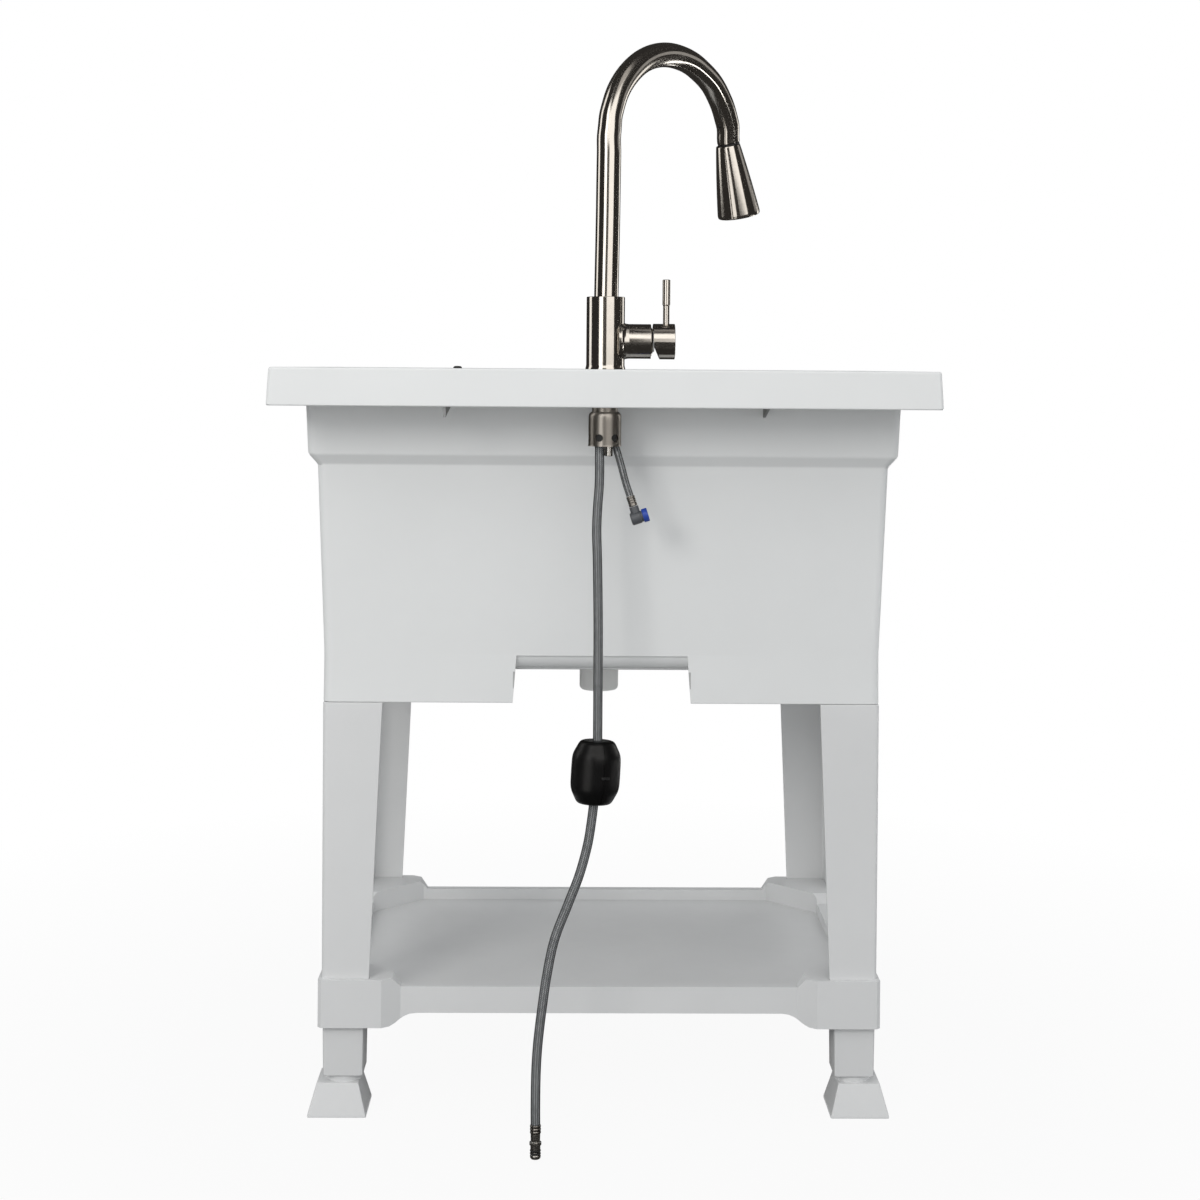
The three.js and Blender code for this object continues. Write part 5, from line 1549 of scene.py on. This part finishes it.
# %% Reflections: drapes and panels
EYE_LEVEL = 0.9
surround = begin(
    "studio_surround",
    bpy.ops.mesh.primitive_cylinder_add,
    vertices=96,
    radius=3.2,
    depth=4.5,
    location=(0, 0, 2.253),
    end_fill_type="NGON",
)
panels, nodes, links, shader = new_material("studio_panels")
parts = nodes.new("ShaderNodeSeparateXYZ")
links.new(nodes.new("ShaderNodeTexCoord").outputs["Object"], parts.inputs[0])
backwards = calculate(nodes, links, "MULTIPLY", parts.outputs["X"], -1.0)
bearing = calculate(nodes, links, "ARCTAN2", backwards, parts.outputs["Y"])
turn = spread(nodes, links, bearing, -math.pi, math.pi, 0.0, 1.0)
level = calculate(nodes, links, "SUBTRACT", parts.outputs["Z"], EYE_LEVEL)
across = calculate(nodes, links, "POWER", parts.outputs["X"], 2.0)
deep = calculate(nodes, links, "POWER", parts.outputs["Y"], 2.0)
reach = calculate(nodes, links, "SQRT", calculate(nodes, links, "ADD", across, deep))
elevation = calculate(nodes, links, "ARCTAN2", level, reach)


def at(degrees):
    """A bearing as a place on the ramp: 0 is behind the sink, and it grows towards -X."""
    return (degrees + 180) / 360


def between(value, low, high):
    """1 where an angle lies between two limits in degrees."""
    above = calculate(nodes, links, "GREATER_THAN", value, math.radians(low))
    below = calculate(nodes, links, "LESS_THAN", value, math.radians(high))
    return calculate(nodes, links, "MULTIPLY", above, below)


DRAPE = (0.0155, 0.0145, 0.0135)
BANDS = [
    (-110, -91, (0.66, 0.645, 0.62)), (-36, -16, (1.0, 0.985, 0.96)), (-14, 2, (0.040, 0.037, 0.033)),
    (4.5, 46, (0.68, 0.66, 0.635)),
]
SOFT = 1.5
stops = [(0.0, DRAPE), (1.0, DRAPE)]
for start, end, colour in BANDS:
    stops += [
        (at(start - SOFT), DRAPE), (at(start), colour), (at(end), colour), (at(end + SOFT), DRAPE),
    ]
upright_panels = ramp(nodes, links, turn, stops)


def panel(start, end, colour):
    """A panel between two bearings."""
    return ramp(nodes, links, between(bearing, start, end), [(0.0, (0, 0, 0)), (1.0, colour)])


PANEL_LIGHT = 2.7
everywhere = ramp(nodes, links, turn, [(0.0, DRAPE), (1.0, DRAPE)])
light_so_far = None
for colour, place, strength in (
    (everywhere, between(elevation, -90, -4), PANEL_LIGHT),
    (everywhere, between(elevation, 50, 90), PANEL_LIGHT),
    (upright_panels, between(elevation, -4, 50), PANEL_LIGHT),
    (panel(-15, 4, (0.70, 0.68, 0.65)), between(elevation, 17, 44), PANEL_LIGHT),
    (panel(12, 62, (0.22, 0.21, 0.20)), between(elevation, 50, 78), PANEL_LIGHT),
    (panel(-42, -12, (0.55, 0.535, 0.515)), between(elevation, -40, -6), PANEL_LIGHT),
    (panel(117, 134, (0.66, 0.645, 0.62)), between(elevation, -4, 13), PANEL_LIGHT),
    (panel(92, 117, (0.17, 0.165, 0.16)), between(elevation, 12, 26), PANEL_LIGHT),
    (panel(68, 155, (1.0, 0.99, 0.97)), between(elevation, -24, -20.5), 2 * PANEL_LIGHT),
):
    glow = nodes.new("ShaderNodeEmission")
    links.new(colour, glow.inputs["Color"])
    links.new(calculate(nodes, links, "MULTIPLY", place, strength), glow.inputs["Strength"])
    if light_so_far is None:
        light_so_far = glow.outputs["Emission"]
        continue
    total = nodes.new("ShaderNodeAddShader")
    links.new(light_so_far, total.inputs[0])
    links.new(glow.outputs["Emission"], total.inputs[1])
    light_so_far = total.outputs["Shader"]
links.new(light_so_far, nodes["Material Output"].inputs["Surface"])
surround.data.materials.append(panels)
for ray in ("camera", "diffuse", "shadow", "transmission", "volume_scatter"):
    setattr(surround, f"visible_{ray}", False)
print("surround ready")

# %% [markdown]
# ## Lamps
# A soft key light stands high on the picture's left, as the shadows beside the hoses show. A weak one
# in front, one at the side and one above lift the shade under the rim and inside the legs.

# %% Lamps
def lamp(name, place, target, size, power, colour):
    """A square soft light that looks at a point."""
    data = bpy.data.lights.new(name, "AREA")
    data.shape = "SQUARE"
    data.size = size
    data.energy = power
    data.color = colour
    light = bpy.data.objects.new(name, data)
    bpy.context.scene.collection.objects.link(light)
    light.location = place
    light.rotation_euler = (Vector(target) - Vector(place)).to_track_quat("-Z", "Y").to_euler()
    light.visible_glossy = False


WARM, COOL = (1.0, 0.985, 0.965), (0.97, 0.985, 1.0)
lamp("key_light", (1.3, 2.2, 1.62), (0, 0.1, 0.6), 0.8, 18, WARM)
lamp("low_light", (0.4, 2.7, 0.85), (0, 0.0, 0.6), 1.2, 5, COOL)
lamp("side_light", (-2.0, 0.5, 0.45), (0, 0.0, 0.45), 0.8, 3, (0.96, 0.98, 1.0))
lamp("top_light", (-0.5, 1.6, 2.6), (0, 0, 0.6), 1.2, 5, WARM)
print("lamps ready")

# %% [markdown]
# ## The end

# %% The end
deselect()
